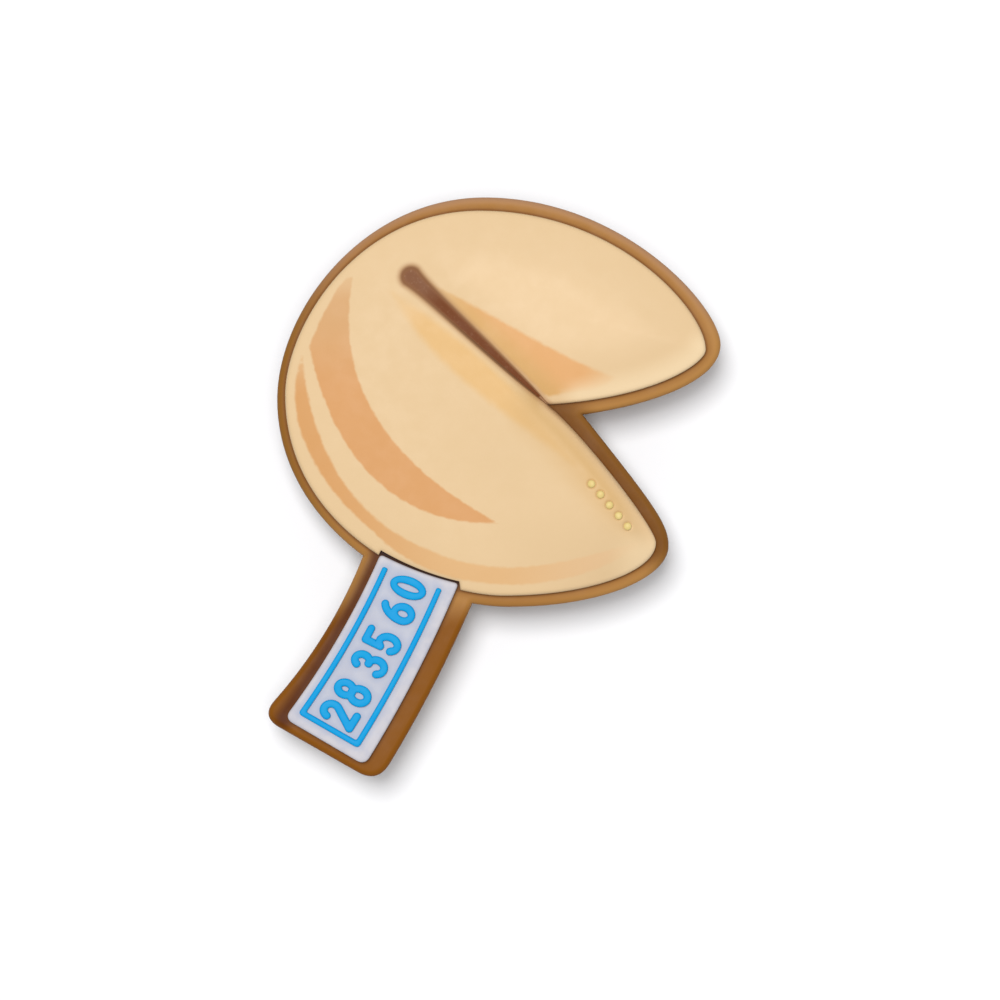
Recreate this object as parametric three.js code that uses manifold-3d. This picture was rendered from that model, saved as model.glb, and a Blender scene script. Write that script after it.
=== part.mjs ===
// A soft PVC shoe charm shaped like an open fortune cookie with its paper slip hanging out.
//
// Units are millimetres. +Z is up: the picture faces up, and the charm rests on the flat foot of the stud
// that holds it in a shoe's hole. +X runs to the picture's right, +Y to its top, and the origin is the
// centre of the foot. A brown backing carries a cream cookie in relief, whose near half stands proud of the
// far half along a fold, a dark crease laid in that fold, and a pale slip with a raised border and digits.

import * as THREE from 'three';
import { mergeVertices } from 'three/addons/utils/BufferGeometryUtils.js';
import Module from 'manifold-3d';

const wasm = await Module();
wasm.setup();

// ---- Driving dimensions ----

// The stud, and the levels that it sets.
const FOOT_RADIUS = 5.3;
const CAP_RADIUS = 6.3;
const CAP_HEIGHT = 1.9;
const STEM_RADIUS = 3.7;
const STEM_LENGTH = 3.6;
const STEM_FLARE = 0.5;
const BACKING_THICKNESS = 2.2;
const BACK = CAP_HEIGHT + STEM_LENGTH;
const FACE = BACK + BACKING_THICKNESS;

// Edge roundings of the backing.
const BACK_EDGE = 0.25;
const FACE_EDGE = 0.4;

// The cookie's relief, measured up from the backing's face.
const COOKIE_EDGE = 0.55;
const COOKIE_EDGE_ROUND = 0.2;
const CROWN_RISE = 0.65;
const CROWN_SPREAD = 6;
const FLAP_RISE = 1;
const FLAP_SPREAD = 10;
const FLAP_ROUND = 1.5;
const FLAP_LIP = 0.3;
const FLAP_KEEL_FADE = 5;

// The fold: it starts at the crease's round head and runs to the corner of the cookie's mouth.
const CREASE_HEAD = new THREE.Vector2(-3.9, 10.8);
const CREASE_HEAD_RADIUS = 0.75;
const CREASE_BREADTH = 1.15;
const CREASE_NECK = 0.9;
const CREASE_TAPER = 0.98;
const CREASE_SHORT_OF_MOUTH = 0.4;
const CREASE_FLOOR = 0.3;
const CREASE_SINK = 0.2;
const CREASE_GAP = 0.06;
const CREASE_TIP_GAP = 0.36;

// The slip and the backing's tab under it both bend gently. A side runs from the free end to the root by way
// of the point where its end headings cross.
const SLIP_INNER_SIDE = { end: [-12.3, -18.41], bend: [-8.46, -13.31], root: [-5.94, -7.55] };
const SLIP_OUTER_SIDE = { end: [-6.98, -21.53], bend: [-3.42, -15.84], root: [-0.76, -9.49] };
const SLIP_ROOT_BEND = [-3.48, -8.84];
const SLIP_CORNER = 0.65;
const SLIP_ROOT_CORNER = 0.3;
const SLIP_HEIGHT = 0.6;
const SLIP_EDGE = 0.15;
const TAB_INNER_SIDE = { end: [-13.95, -18.3], bend: [-9.5, -13.68], root: [-7.12, -7.7] };
const TAB_OUTER_SIDE = { end: [-6.15, -22.75], bend: [-2.65, -17.25], root: [0.1, -10.9] };
const TAB_TUCK = [[-5.2, -3.5], [2, -6.5]];
const TAB_CORNER = 1.5;

// The slot that the slip comes out of, cut in the cookie's edge.
const SLOT_INNER_CORNER = [-5.9, -7.3];
const SLOT_OUTER_CORNER = [-0.72, -9.35];
const SLOT_BEND = [-3.4, -8.75];
const SLOT_MOUTH = [[-7.1, -9.6], [-0.55, -11]];

// The raised border and digits on the slip, placed by distances along it from its free end and across it
// from its outer side.
const SLIP_SIZE = { along: 12.7, across: 5.8 };
const PRINT_HEIGHT = 0.28;
const PRINT_EDGE = 0.08;
const BORDER_STROKE = 0.38;
const BORDER = { end: 0.92, open: 12, outer: 1.1, inner: 5.1 };
const BORDER_CORNERS = { outside: 0.3, inside: 0.12, tip: 0.15 };
const DIGIT_STROKE = 0.52;
const DIGIT = { width: 1.42, height: 2.6 };
const DIGIT_PAIRS = ['28', '35', '60'];
const DIGIT_SPACE = 0.26;
const PAIR_SPACE = 0.72;
const DIGITS_MIDDLE = { along: 6.65, across: 3.1 };

// A row of small dots set in the flap near its free edge.
const DOT_ROW = { first: [8, -2.9], last: [10.4, -5.7], count: 5 };
const DOT_RADIUS = 0.26;
const DOT_GAP = 0.03;
const DOT_SEAT_DEPTH = 0.15;
const DOT_STAND = 0.14;

// Outlines, anticlockwise. An anchor is a point, the curve's heading there in degrees, and how far the curve
// holds that heading before and after it. A corner has one heading for arriving and one for leaving.
const COOKIE_OUTLINE = [
  { at: [5.15, 2.35], arrive: 138.5, leave: 3.5, before: 3.4, after: 7.0 },
  { at: [15.6, 6.0], arrive: 90, leave: 90, before: 0.95, after: 2.55 },
  { at: [0.65, 15.2], arrive: 180, leave: 180, before: 9.15, after: 8.35 },
  { at: [-12.25, 3.0], arrive: 270, leave: 270, before: 4.35, after: 9.1 },
  { at: [2.25, -10.3], arrive: 0, leave: 0, before: 4.95, after: 5.6 },
  { at: [12.3, -6.8], arrive: 90, leave: 90, before: 1.9, after: 1.0 },
];
const BACKING_OUTLINE = [
  { at: [7.45, 1.7], arrive: 128.5, leave: 8, before: 7.75, after: 4.1 },
  { at: [16.6, 6.35], arrive: 90, leave: 90, before: 2.6, after: 2.45 },
  { at: [0.95, 16.1], arrive: 180, leave: 180, before: 9.25, after: 8.05 },
  { at: [-12.8, 2.7], arrive: 270, leave: 270, before: 5.9, after: 8.25 },
  { at: [2.6, -11.05], arrive: 0, leave: 0, before: 6.7, after: 6.2 },
  { at: [13.15, -7.0], arrive: 90, leave: 90, before: 2.1, after: 1.45 },
];

// How far the cutting solids reach past what they cut.
const CUT_HEIGHT = 5;

// Fineness, and the sharpest bend that an outline still follows at full width when it moves in or out.
const SHARPEST_MITRE = 0.35;
const OUTLINE_STEP = 0.85;
const BEND_STEP = 1.2;
const ROUNDING_STEPS = 3;
const STUD_SIDES = 40;
const STROKE_CAP_STEPS = 4;
const DOT_SIDES = 12;
const ROW_INSETS = { outer: [0, 0.06, 0.2], free: [1.5, 0.6, 0.2, 0.06, 0] };
const ROW_INSETS_FULL = 2.6;
const ROW_MIDDLE_SHARES = [0.2, 0.4, 0.6, 0.8];
const FAN_ROWS = 8;
const FOLD_STEPS = 16;
const CREASE_HEAD_STEPS = 8;
const CREASE_ROW_SHARES = [0, 0.3, 0.7, 1];
const CREASE_SIDE_SHARES = [0.05, 0.11, 0.2, 0.4, 0.6, 0.8, 0.93, 1];

// ---- Outlines ----

function onwardFrom([x, y], degrees, distance) {
  const angle = THREE.MathUtils.degToRad(degrees);
  return new THREE.Vector2(x + distance * Math.cos(angle), y + distance * Math.sin(angle));
}

// The stretches of a closed outline, one list of points for each anchor, each without its last point.
function stretches(anchors) {
  return anchors.map((from, i) => {
    const to = anchors[(i + 1) % anchors.length];
    const curve = new THREE.CubicBezierCurve(
      new THREE.Vector2(...from.at),
      onwardFrom(from.at, from.leave, from.after),
      onwardFrom(to.at, to.arrive, -to.before),
      new THREE.Vector2(...to.at),
    );
    const points = curve.getSpacedPoints(Math.max(4, Math.round(curve.getLength() / OUTLINE_STEP)));
    return points.slice(0, -1);
  });
}

// A closed outline with rounded corners. A corner is {at, round, bend}: the rounding starts that far from
// the corner, and the edge that follows it is straight unless it goes by way of a bend point.
function roundedLoop(corners) {
  const edges = corners.map((corner, i) => {
    const from = new THREE.Vector2(...corner.at);
    const to = new THREE.Vector2(...corners[(i + 1) % corners.length].at);
    const bend = corner.bend ? new THREE.Vector2(...corner.bend) : from.clone().lerp(to, 0.5);
    return new THREE.QuadraticBezierCurve(from, bend, to);
  });
  return edges.flatMap((edge, i) => {
    const { at, round } = corners[i];
    const nextRound = corners[(i + 1) % corners.length].round;
    const length = edge.getLength();
    const start = round / length;
    const end = 1 - nextRound / length;
    const steps = Math.ceil(((end - start) * length) / BEND_STEP);
    const run = Array.from({ length: steps + 1 }, (_, k) =>
      edge.getPointAt(THREE.MathUtils.lerp(start, end, k / steps)),
    );
    const before = edges.at(i - 1);
    const turn = new THREE.QuadraticBezierCurve(
      before.getPointAt(1 - round / before.getLength()),
      new THREE.Vector2(...at),
      run[0],
    );
    const turnPoints = round ? turn.getPoints(ROUNDING_STEPS).slice(1, -1) : [];
    return [...turnPoints, ...run.slice(0, nextRound ? undefined : -1)];
  });
}

function arc(centre, radiusX, radiusY, from, to, steps = 8) {
  return Array.from({ length: steps + 1 }, (_, k) => {
    const angle = THREE.MathUtils.degToRad(from + ((to - from) * k) / steps);
    return new THREE.Vector2(centre[0] + radiusX * Math.cos(angle), centre[1] + radiusY * Math.sin(angle));
  });
}

// The outline of a stroke with round ends along a run of points.
function strokeOutline(points, width) {
  const normals = points.map((point, i) => {
    const before = points[Math.max(i - 1, 0)];
    const after = points[Math.min(i + 1, points.length - 1)];
    const heading = after.clone().sub(before).normalize();
    const square = new THREE.Vector2(-heading.y, heading.x);
    const side = point.clone().sub(before).normalize();
    // On a bend the outline moves out along the mitre, so that the stroke keeps its width.
    const mitre = i && i < points.length - 1 ? Math.max(SHARPEST_MITRE, side.dot(heading)) : 1;
    return square.multiplyScalar(width / 2 / mitre);
  });
  const cap = (centre, from) =>
    Array.from({ length: STROKE_CAP_STEPS - 1 }, (_, k) => {
      const turn = (-Math.PI * (k + 1)) / STROKE_CAP_STEPS;
      return from.clone().rotateAround(new THREE.Vector2(), turn).add(centre);
    });
  const left = points.map((point, i) => point.clone().add(normals[i]));
  const right = points.map((point, i) => point.clone().sub(normals[i]));
  return [
    ...left,
    ...cap(points.at(-1), normals.at(-1)),
    ...right.reverse(),
    ...cap(points[0], normals[0].clone().negate()),
  ].reverse();
}

// ---- Solids ----

function geometryOf(positions, triangles) {
  const geometry = new THREE.BufferGeometry();
  geometry.setAttribute('position', new THREE.Float32BufferAttribute(positions.flat(), 3));
  geometry.setIndex(triangles.flat());
  return geometry;
}

// Where each point of a loop lies once the loop has moved in by a distance, keeping its corners.
function movedIn(loop, distance) {
  return loop.map((point, i) => {
    const before = point.clone().sub(loop.at(i - 1)).normalize();
    const after = loop[(i + 1) % loop.length].clone().sub(point).normalize();
    const middle = before.clone().add(after).normalize();
    const mitre = Math.max(SHARPEST_MITRE, middle.dot(after));
    return new THREE.Vector2(point.x - (middle.y * distance) / mitre, point.y + (middle.x * distance) / mitre);
  });
}

// A closed solid through layers of one outline, from the lowest up. Each layer is [moved in by, height].
// The first loop is the outer one, anticlockwise, and the rest are holes, clockwise.
function layeredSolid(loops, layers) {
  const counts = loops.map((loop) => loop.length);
  const perLayer = counts.reduce((sum, count) => sum + count, 0);
  const positions = layers.flatMap(([inset, z]) =>
    loops.flatMap((loop) => movedIn(loop, inset).map((point) => [point.x, point.y, z])),
  );
  const triangles = [];
  for (let layer = 0; layer + 1 < layers.length; layer += 1) {
    let start = layer * perLayer;
    for (const count of counts) {
      for (let i = 0; i < count; i += 1) {
        const a = start + i;
        const b = start + ((i + 1) % count);
        triangles.push([a, b, b + perLayer], [a, b + perLayer, a + perLayer]);
      }
      start += count;
    }
  }
  const cap = THREE.ShapeUtils.triangulateShape(loops[0], loops.slice(1));
  const top = (layers.length - 1) * perLayer;
  for (const [a, b, c] of cap) {
    triangles.push([a, c, b], [a + top, b + top, c + top]);
  }
  return geometryOf(positions, triangles);
}

// Layers for a slab with square lower edges and rounded upper ones.
function slabLayers(low, high, round) {
  return [[0, low], ...quarterRound(round).map(([inset, drop]) => [inset, high - drop])];
}

// A quarter circle in steps, as [moved in by, below the top].
function quarterRound(radius) {
  return Array.from({ length: ROUNDING_STEPS + 1 }, (_, k) => {
    const turn = (Math.PI / 2) * (k / ROUNDING_STEPS);
    return [radius * (1 - Math.cos(turn)), radius * (1 - Math.sin(turn))];
  });
}

// The two triangles between two pairs of neighbouring points, without those that have no area.
function quad(a, b, c, d) {
  const same = (p, q) => p.every((value, i) => Math.abs(value - q[i]) < 1e-6);
  return [
    [a, b, c],
    [a, c, d],
  ].filter(([p, q, r]) => !same(p, q) && !same(q, r) && !same(r, p));
}

// The wall that stands on a run of points, seen from its right-hand side.
function wall(low, high) {
  return low.slice(1).flatMap((end, i) => quad(low[i], end, high[i + 1], high[i]));
}

// A sheet through rows of points, facing up.
function sheet(rows) {
  const upward = ([a, b, c]) => {
    const area = (b[0] - a[0]) * (c[1] - a[1]) - (b[1] - a[1]) * (c[0] - a[0]);
    return area > 0 ? [a, b, c] : [a, c, b];
  };
  return rows.slice(1).flatMap((row, i) =>
    row.slice(1).flatMap((corner, k) => quad(rows[i][k], rows[i][k + 1], corner, row[k]).map(upward)),
  );
}

function floorUnder(rim, z) {
  const corner = (i) => [rim[i].x, rim[i].y, z];
  return THREE.ShapeUtils.triangulateShape(rim, []).map(([a, b, c]) => [corner(a), corner(c), corner(b)]);
}

function geometryOfTriangles(triangles) {
  const corners = triangles.flat();
  return geometryOf(
    corners,
    corners.map((_, i) => i),
  );
}

const lifted = (points, heightAt) => points.map((at) => [at.x, at.y, heightAt(at)]);

function solidOf(geometry) {
  const bare = geometry.clone();
  bare.deleteAttribute('normal');
  bare.deleteAttribute('uv');
  const merged = mergeVertices(bare, 1e-4);
  return new wasm.Manifold(
    new wasm.Mesh({
      numProp: 3,
      vertProperties: merged.attributes.position.array,
      triVerts: new Uint32Array(merged.index.array),
    }),
  );
}

function geometryFrom(solid) {
  const made = solid.getMesh();
  const positions = Array.from({ length: made.numVert }, (_, i) => [
    ...made.vertProperties.slice(i * made.numProp, i * made.numProp + 3),
  ]);
  return geometryOf(positions, [[...made.triVerts]]);
}

// ---- The slip's bend ----

const sideCurve = ({ end, bend, root }) =>
  new THREE.QuadraticBezierCurve(
    new THREE.Vector2(...end),
    new THREE.Vector2(...bend),
    new THREE.Vector2(...root),
  );
const SLIP_INNER_CURVE = sideCurve(SLIP_INNER_SIDE);
const SLIP_OUTER_CURVE = sideCurve(SLIP_OUTER_SIDE);

// Moves a solid drawn along a straight slip to its place along the bent one.
function bentWithSlip(geometry) {
  const positions = geometry.attributes.position;
  for (let i = 0; i < positions.count; i += 1) {
    const along = positions.getX(i) / SLIP_SIZE.along;
    const across = positions.getY(i) / SLIP_SIZE.across;
    const at = SLIP_OUTER_CURVE.getPoint(along).lerp(SLIP_INNER_CURVE.getPoint(along), across);
    positions.setXY(i, at.x, at.y);
  }
  return geometry;
}

// ---- The cookie's relief ----

const [MOUTH_FAR_SIDE, FAR_TIP_TO_CROWN, CROWN_TO_BACK, BACK_TO_KEEL, KEEL_TO_NEAR_TIP, MOUTH_NEAR_SIDE] =
  stretches(COOKIE_OUTLINE);
const MOUTH_CORNER = MOUTH_FAR_SIDE[0];
const FOLD = MOUTH_CORNER.clone().sub(CREASE_HEAD);
const FOLD_LINE = Array.from({ length: FOLD_STEPS + 1 }, (_, k) =>
  CREASE_HEAD.clone().addScaledVector(FOLD, k / FOLD_STEPS),
);
const OUTER_EDGE = [
  ...FAR_TIP_TO_CROWN,
  ...CROWN_TO_BACK,
  ...BACK_TO_KEEL,
  ...KEEL_TO_NEAR_TIP,
  MOUTH_NEAR_SIDE[0],
];
const WHOLE_EDGE = [...MOUTH_FAR_SIDE, ...OUTER_EDGE, ...MOUTH_NEAR_SIDE.slice(1), MOUTH_CORNER];
const FLAP_FREE_EDGE = [...MOUTH_NEAR_SIDE, MOUTH_CORNER, CREASE_HEAD];
const DOT_PLACES = Array.from({ length: DOT_ROW.count }, (_, i) =>
  new THREE.Vector2(...DOT_ROW.first).lerp(new THREE.Vector2(...DOT_ROW.last), i / (DOT_ROW.count - 1)),
);

function distanceTo(path, point) {
  let nearest = Infinity;
  for (let i = 0; i + 1 < path.length; i += 1) {
    const span = path[i + 1].clone().sub(path[i]);
    const share = point.clone().sub(path[i]).dot(span) / span.lengthSq();
    const foot = path[i].clone().addScaledVector(span, THREE.MathUtils.clamp(share, 0, 1));
    nearest = Math.min(nearest, foot.distanceTo(point));
  }
  return nearest;
}

// From 0 at the start to 1 at the width, steep first and then level, as a round edge is.
function rounded(distance, width) {
  const left = 1 - Math.min(distance / width, 1);
  return Math.sqrt(1 - left * left);
}

function swelling(distance, width) {
  const left = 1 - Math.min(distance / width, 1);
  return 1 - left * left;
}

// How far the near half has parted from the far half: 0 at the crease's head, 1 at the mouth.
function parting(point) {
  return THREE.MathUtils.smoothstep(point.clone().sub(CREASE_HEAD).dot(FOLD) / FOLD.lengthSq(), 0, 1);
}

function edgeHeight(point) {
  const edge = distanceTo(WHOLE_EDGE, point);
  return COOKIE_EDGE - COOKIE_EDGE_ROUND * (1 - rounded(edge, COOKIE_EDGE_ROUND));
}

function farHalfTop(point) {
  const edge = distanceTo(WHOLE_EDGE, point);
  return FACE + edgeHeight(point) + CROWN_RISE * swelling(edge, CROWN_SPREAD);
}

function nearHalfTop(point) {
  const outer = distanceTo(OUTER_EDGE, point);
  const free = distanceTo(FLAP_FREE_EDGE, point);
  const parted = parting(point);
  const rise = FLAP_RISE * parted * (1 - THREE.MathUtils.smoothstep(free, 0, FLAP_SPREAD));
  const lip = THREE.MathUtils.lerp(1, FLAP_LIP + (1 - FLAP_LIP) * rounded(free, FLAP_ROUND), parted);
  const bulk = CROWN_RISE * swelling(outer, CROWN_SPREAD) + rise * swelling(outer, FLAP_KEEL_FADE);
  return FACE + edgeHeight(point) + bulk * lip;
}

// A groove with a round head that narrows towards the mouth.
function creaseOutline(shrink, shorten) {
  const length = FOLD.length() - CREASE_SHORT_OF_MOUTH - shorten;
  const onward = FOLD.clone().normalize();
  const across = new THREE.Vector2(-onward.y, onward.x);
  const flare = CREASE_HEAD_RADIUS - CREASE_BREADTH / 2;
  const halfBreadth = (share) =>
    (CREASE_BREADTH / 2 - shrink) * Math.sqrt(1 - share * CREASE_TAPER) +
    flare * Math.exp((-share * length) / CREASE_NECK);
  const head = Array.from({ length: CREASE_HEAD_STEPS + 1 }, (_, k) => {
    const turn = Math.PI * (0.5 + k / CREASE_HEAD_STEPS);
    return onward
      .clone()
      .rotateAround(new THREE.Vector2(), turn)
      .multiplyScalar(halfBreadth(0))
      .add(CREASE_HEAD);
  });
  const side = (share, sign) =>
    CREASE_HEAD.clone().addScaledVector(onward, share * length).addScaledVector(across, sign * halfBreadth(share));
  return [
    ...head,
    ...CREASE_SIDE_SHARES.map((share) => side(share, -1)),
    ...CREASE_SIDE_SHARES.toReversed().map((share) => side(share, 1)),
  ];
}

// ---- Sub-parts ----

function turned(profile) {
  return new THREE.LatheGeometry(profile.getPoints(ROUNDING_STEPS), STUD_SIDES).rotateX(Math.PI / 2);
}

function makeStudCap() {
  const capEdge = (CAP_RADIUS - FOOT_RADIUS) / 2;
  return turned(
    new THREE.Path()
      .moveTo(0, 0)
      .lineTo(FOOT_RADIUS, 0)
      .quadraticCurveTo(CAP_RADIUS, 0, CAP_RADIUS, CAP_HEIGHT / 2)
      .quadraticCurveTo(CAP_RADIUS, CAP_HEIGHT, CAP_RADIUS - capEdge, CAP_HEIGHT)
      .lineTo(0, CAP_HEIGHT),
  );
}

function makeStudStem() {
  return turned(
    new THREE.Path()
      .moveTo(0, CAP_HEIGHT)
      .lineTo(STEM_RADIUS, CAP_HEIGHT)
      .lineTo(STEM_RADIUS, BACK - STEM_FLARE)
      .quadraticCurveTo(STEM_RADIUS, BACK, STEM_RADIUS + STEM_FLARE, BACK)
      .lineTo(0, BACK),
  );
}

function makeBacking() {
  const layers = [[BACK_EDGE, BACK], ...slabLayers(BACK + BACK_EDGE, FACE, FACE_EDGE)];
  const cookiePart = layeredSolid([stretches(BACKING_OUTLINE).flat()], layers);
  const tabOutline = roundedLoop([
    { at: TAB_OUTER_SIDE.end, round: TAB_CORNER, bend: TAB_OUTER_SIDE.bend },
    { at: TAB_OUTER_SIDE.root, round: 0 },
    { at: TAB_TUCK[1], round: 0 },
    { at: TAB_TUCK[0], round: 0 },
    { at: TAB_INNER_SIDE.root, round: 0, bend: TAB_INNER_SIDE.bend },
    { at: TAB_INNER_SIDE.end, round: TAB_CORNER },
  ]);
  const tab = layeredSolid([tabOutline], layers);
  return geometryFrom(solidOf(cookiePart).add(solidOf(tab)));
}

// Rows across one half, from the crease's head to the half's tip. They fan out from the head, and then run
// from the outer edge to the fold and to one side of the mouth.
function halfRows(outerEdge, mouthSide, heightAt) {
  const free = [...Array(FAN_ROWS).fill(CREASE_HEAD), ...FOLD_LINE, ...mouthSide];
  const outer = new THREE.Path().setFromPoints(outerEdge).getSpacedPoints(free.length - 1);
  return free.map((end, i) => {
    const start = i + 1 < free.length ? outer[i] : end;
    const length = Math.max(start.distanceTo(end), 1e-6);
    const scale = Math.min(1, length / ROW_INSETS_FULL) / length;
    const edges = ROW_INSETS.outer.map((inset) => inset * scale);
    const freeEdges = ROW_INSETS.free.map((inset) => 1 - inset * scale);
    const middle = ROW_MIDDLE_SHARES.map((share) => THREE.MathUtils.lerp(edges.at(-1), freeEdges[0], share));
    const row = [...edges, ...middle, ...freeEdges].map((share) => start.clone().lerp(end, share));
    return lifted(row, heightAt);
  });
}

// The cookie's relief in one skin: both halves, the step between them along the fold, the wall round the rim
// and the floor.
function cookieRelief() {
  const behind = OUTER_EDGE.map((point) => point.clone().sub(CREASE_HEAD).dot(FOLD));
  const seam = behind.indexOf(Math.min(...behind));
  const farEdge = OUTER_EDGE.slice(0, seam + 1).reverse();
  const farMouth = [...MOUTH_FAR_SIDE.slice(1), OUTER_EDGE[0]];
  const nearMouth = MOUTH_NEAR_SIDE.toReversed();
  const farRows = halfRows(farEdge, farMouth, farHalfTop);
  const nearRows = halfRows(OUTER_EDGE.slice(seam), nearMouth, nearHalfTop);
  const outerEnds = (rows) => rows.map((row) => row[0]);
  const freeEnds = (rows) => rows.map((row) => row.at(-1));
  const far = freeEnds(farRows).slice(FAN_ROWS);
  const near = freeEnds(nearRows).slice(FAN_ROWS);
  const farRim = [...far.slice(FOLD_STEPS), ...outerEnds(farRows).toReversed().slice(1)];
  const nearRim = [...outerEnds(nearRows), ...near.slice(FOLD_STEPS + 1).toReversed().slice(1)];
  const grounded = (points) => points.map(([x, y]) => [x, y, FACE]);
  const corner = [MOUTH_CORNER.x, MOUTH_CORNER.y, FACE];
  const last = grounded(nearRim).at(-1);
  const triangles = [
    ...sheet(farRows),
    ...sheet(nearRows),
    ...wall(grounded(farRim), farRim),
    ...wall(grounded(nearRim), nearRim),
    // The rim's wall closes at the mouth's corner, under both halves' edges.
    [last, corner, far[FOLD_STEPS]],
    [last, far[FOLD_STEPS], near[FOLD_STEPS]],
    [last, near[FOLD_STEPS], nearRim.at(-1)],
    ...wall(far.slice(0, FOLD_STEPS + 1).toReversed(), near.slice(0, FOLD_STEPS + 1).toReversed()),
    ...floorUnder([...farRim, ...nearRim.slice(1)].map(([x, y]) => new THREE.Vector2(x, y)), FACE),
  ];
  return geometryOfTriangles(triangles);
}

function makeCookie() {
  const above = FACE + CUT_HEIGHT;
  const creaseRecess = layeredSolid([creaseOutline(0, 0)], [[0, FACE + CREASE_FLOOR], [0, above]]);
  const slotOutline = roundedLoop([
    { at: SLOT_MOUTH[1], round: 0 },
    { at: SLOT_OUTER_CORNER, round: 0, bend: SLOT_BEND },
    { at: SLOT_INNER_CORNER, round: 0 },
    { at: SLOT_MOUTH[0], round: 0 },
  ]);
  const slipSlot = layeredSolid([slotOutline], [[0, FACE - CUT_HEIGHT], [0, above]]);
  const cuts = [creaseRecess, slipSlot, ...DOT_PLACES.map((place) => dotSolid(place, DOT_GAP, above))];
  return geometryFrom(cuts.reduce((solid, cut) => solid.subtract(solidOf(cut)), solidOf(cookieRelief())));
}

function makeCrease() {
  const rim = creaseOutline(CREASE_GAP, CREASE_TIP_GAP);
  const top = (at) => farHalfTop(at) - CREASE_SINK;
  const row = (share) => rim.concat(rim[0]).map((at) => at.clone().lerp(CREASE_HEAD, share));
  const rows = CREASE_ROW_SHARES.map((share) => lifted(row(share), top));
  const low = FACE + CREASE_FLOOR;
  return geometryOfTriangles([
    ...sheet(rows),
    ...wall(lifted(row(0), () => low), rows[0]),
    ...floorUnder(rim, low),
  ]);
}

function makeSlip() {
  const outline = roundedLoop([
    { at: SLIP_OUTER_SIDE.end, round: SLIP_CORNER, bend: SLIP_OUTER_SIDE.bend },
    { at: SLIP_OUTER_SIDE.root, round: SLIP_ROOT_CORNER, bend: SLIP_ROOT_BEND },
    { at: SLIP_INNER_SIDE.root, round: SLIP_ROOT_CORNER, bend: SLIP_INNER_SIDE.bend },
    { at: SLIP_INNER_SIDE.end, round: SLIP_CORNER },
  ]);
  return layeredSolid([outline], slabLayers(FACE, FACE + SLIP_HEIGHT, SLIP_EDGE));
}

// A dot's pin, or with a gap the seat for it, which goes up through the surface.
function dotSolid(place, gap, top) {
  const outline = arc([place.x, place.y], DOT_RADIUS + gap, DOT_RADIUS + gap, 0, 360, DOT_SIDES).slice(1);
  const seat = nearHalfTop(place) - DOT_SEAT_DEPTH;
  return layeredSolid([outline], gap ? [[0, seat], [0, top]] : slabLayers(seat, top, DOT_STAND));
}

const PRINT_LAYERS = [
  [0, FACE + SLIP_HEIGHT],
  [0, FACE + SLIP_HEIGHT + PRINT_HEIGHT - PRINT_EDGE],
  [PRINT_EDGE, FACE + SLIP_HEIGHT + PRINT_HEIGHT],
];

// Three sides of a frame, open towards the cookie.
function makeBorder() {
  const half = BORDER_STROKE / 2;
  const { outside, inside, tip } = BORDER_CORNERS;
  const outline = roundedLoop([
    { at: [BORDER.end - half, BORDER.outer - half], round: outside },
    { at: [BORDER.open, BORDER.outer - half], round: tip },
    { at: [BORDER.open, BORDER.outer + half], round: tip },
    { at: [BORDER.end + half, BORDER.outer + half], round: inside },
    { at: [BORDER.end + half, BORDER.inner - half], round: inside },
    { at: [BORDER.open, BORDER.inner - half], round: tip },
    { at: [BORDER.open, BORDER.inner + half], round: tip },
    { at: [BORDER.end - half, BORDER.inner + half], round: outside },
  ]);
  return bentWithSlip(layeredSolid([outline], PRINT_LAYERS));
}

// The middle lines of the digits, in a box as wide and high as a digit less its stroke. A stroke is a run of
// points, and a ring is an ellipse.
const BOX = { width: DIGIT.width - DIGIT_STROKE, height: DIGIT.height - DIGIT_STROKE };
const RING_STEPS = { outside: 18, inside: 12 };
const HALF = BOX.width / 2;
const UPPER = { y: BOX.height * 0.76, radius: BOX.height * 0.24 };
const LOWER = { y: BOX.height * 0.27, radius: BOX.height * 0.27 };

const point = (x, y) => new THREE.Vector2(x, y);
const FIVE_BOWL = arc([HALF, LOWER.y], HALF, LOWER.radius * 1.15, 140, -150);
const DIGIT_SHAPES = {
  0: { rings: [[[HALF, BOX.height / 2], HALF, BOX.height / 2]], strokes: [] },
  2: {
    rings: [],
    strokes: [
      [...arc([HALF, UPPER.y], HALF, UPPER.radius, 170, -30), point(0, 0)],
      [point(0, 0), point(BOX.width, 0)],
    ],
  },
  3: {
    rings: [],
    strokes: [
      arc([HALF, UPPER.y], HALF * 0.9, UPPER.radius, 155, -90),
      arc([HALF, LOWER.y], HALF, LOWER.radius, 90, -155),
    ],
  },
  5: {
    rings: [],
    strokes: [
      [point(BOX.width, BOX.height), point(HALF * 0.25, BOX.height)],
      [point(HALF * 0.25, BOX.height), FIVE_BOWL[0]],
      FIVE_BOWL,
    ],
  },
  6: {
    rings: [[[HALF, LOWER.y * 1.08], HALF, LOWER.radius * 1.08]],
    strokes: [arc([BOX.width, LOWER.y * 1.08], BOX.width, BOX.height - LOWER.y * 1.08, 180, 108)],
  },
  8: {
    rings: [
      [[HALF, UPPER.y], HALF * 0.9, UPPER.radius],
      [[HALF, LOWER.y], HALF, LOWER.radius],
    ],
    strokes: [],
  },
};

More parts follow.
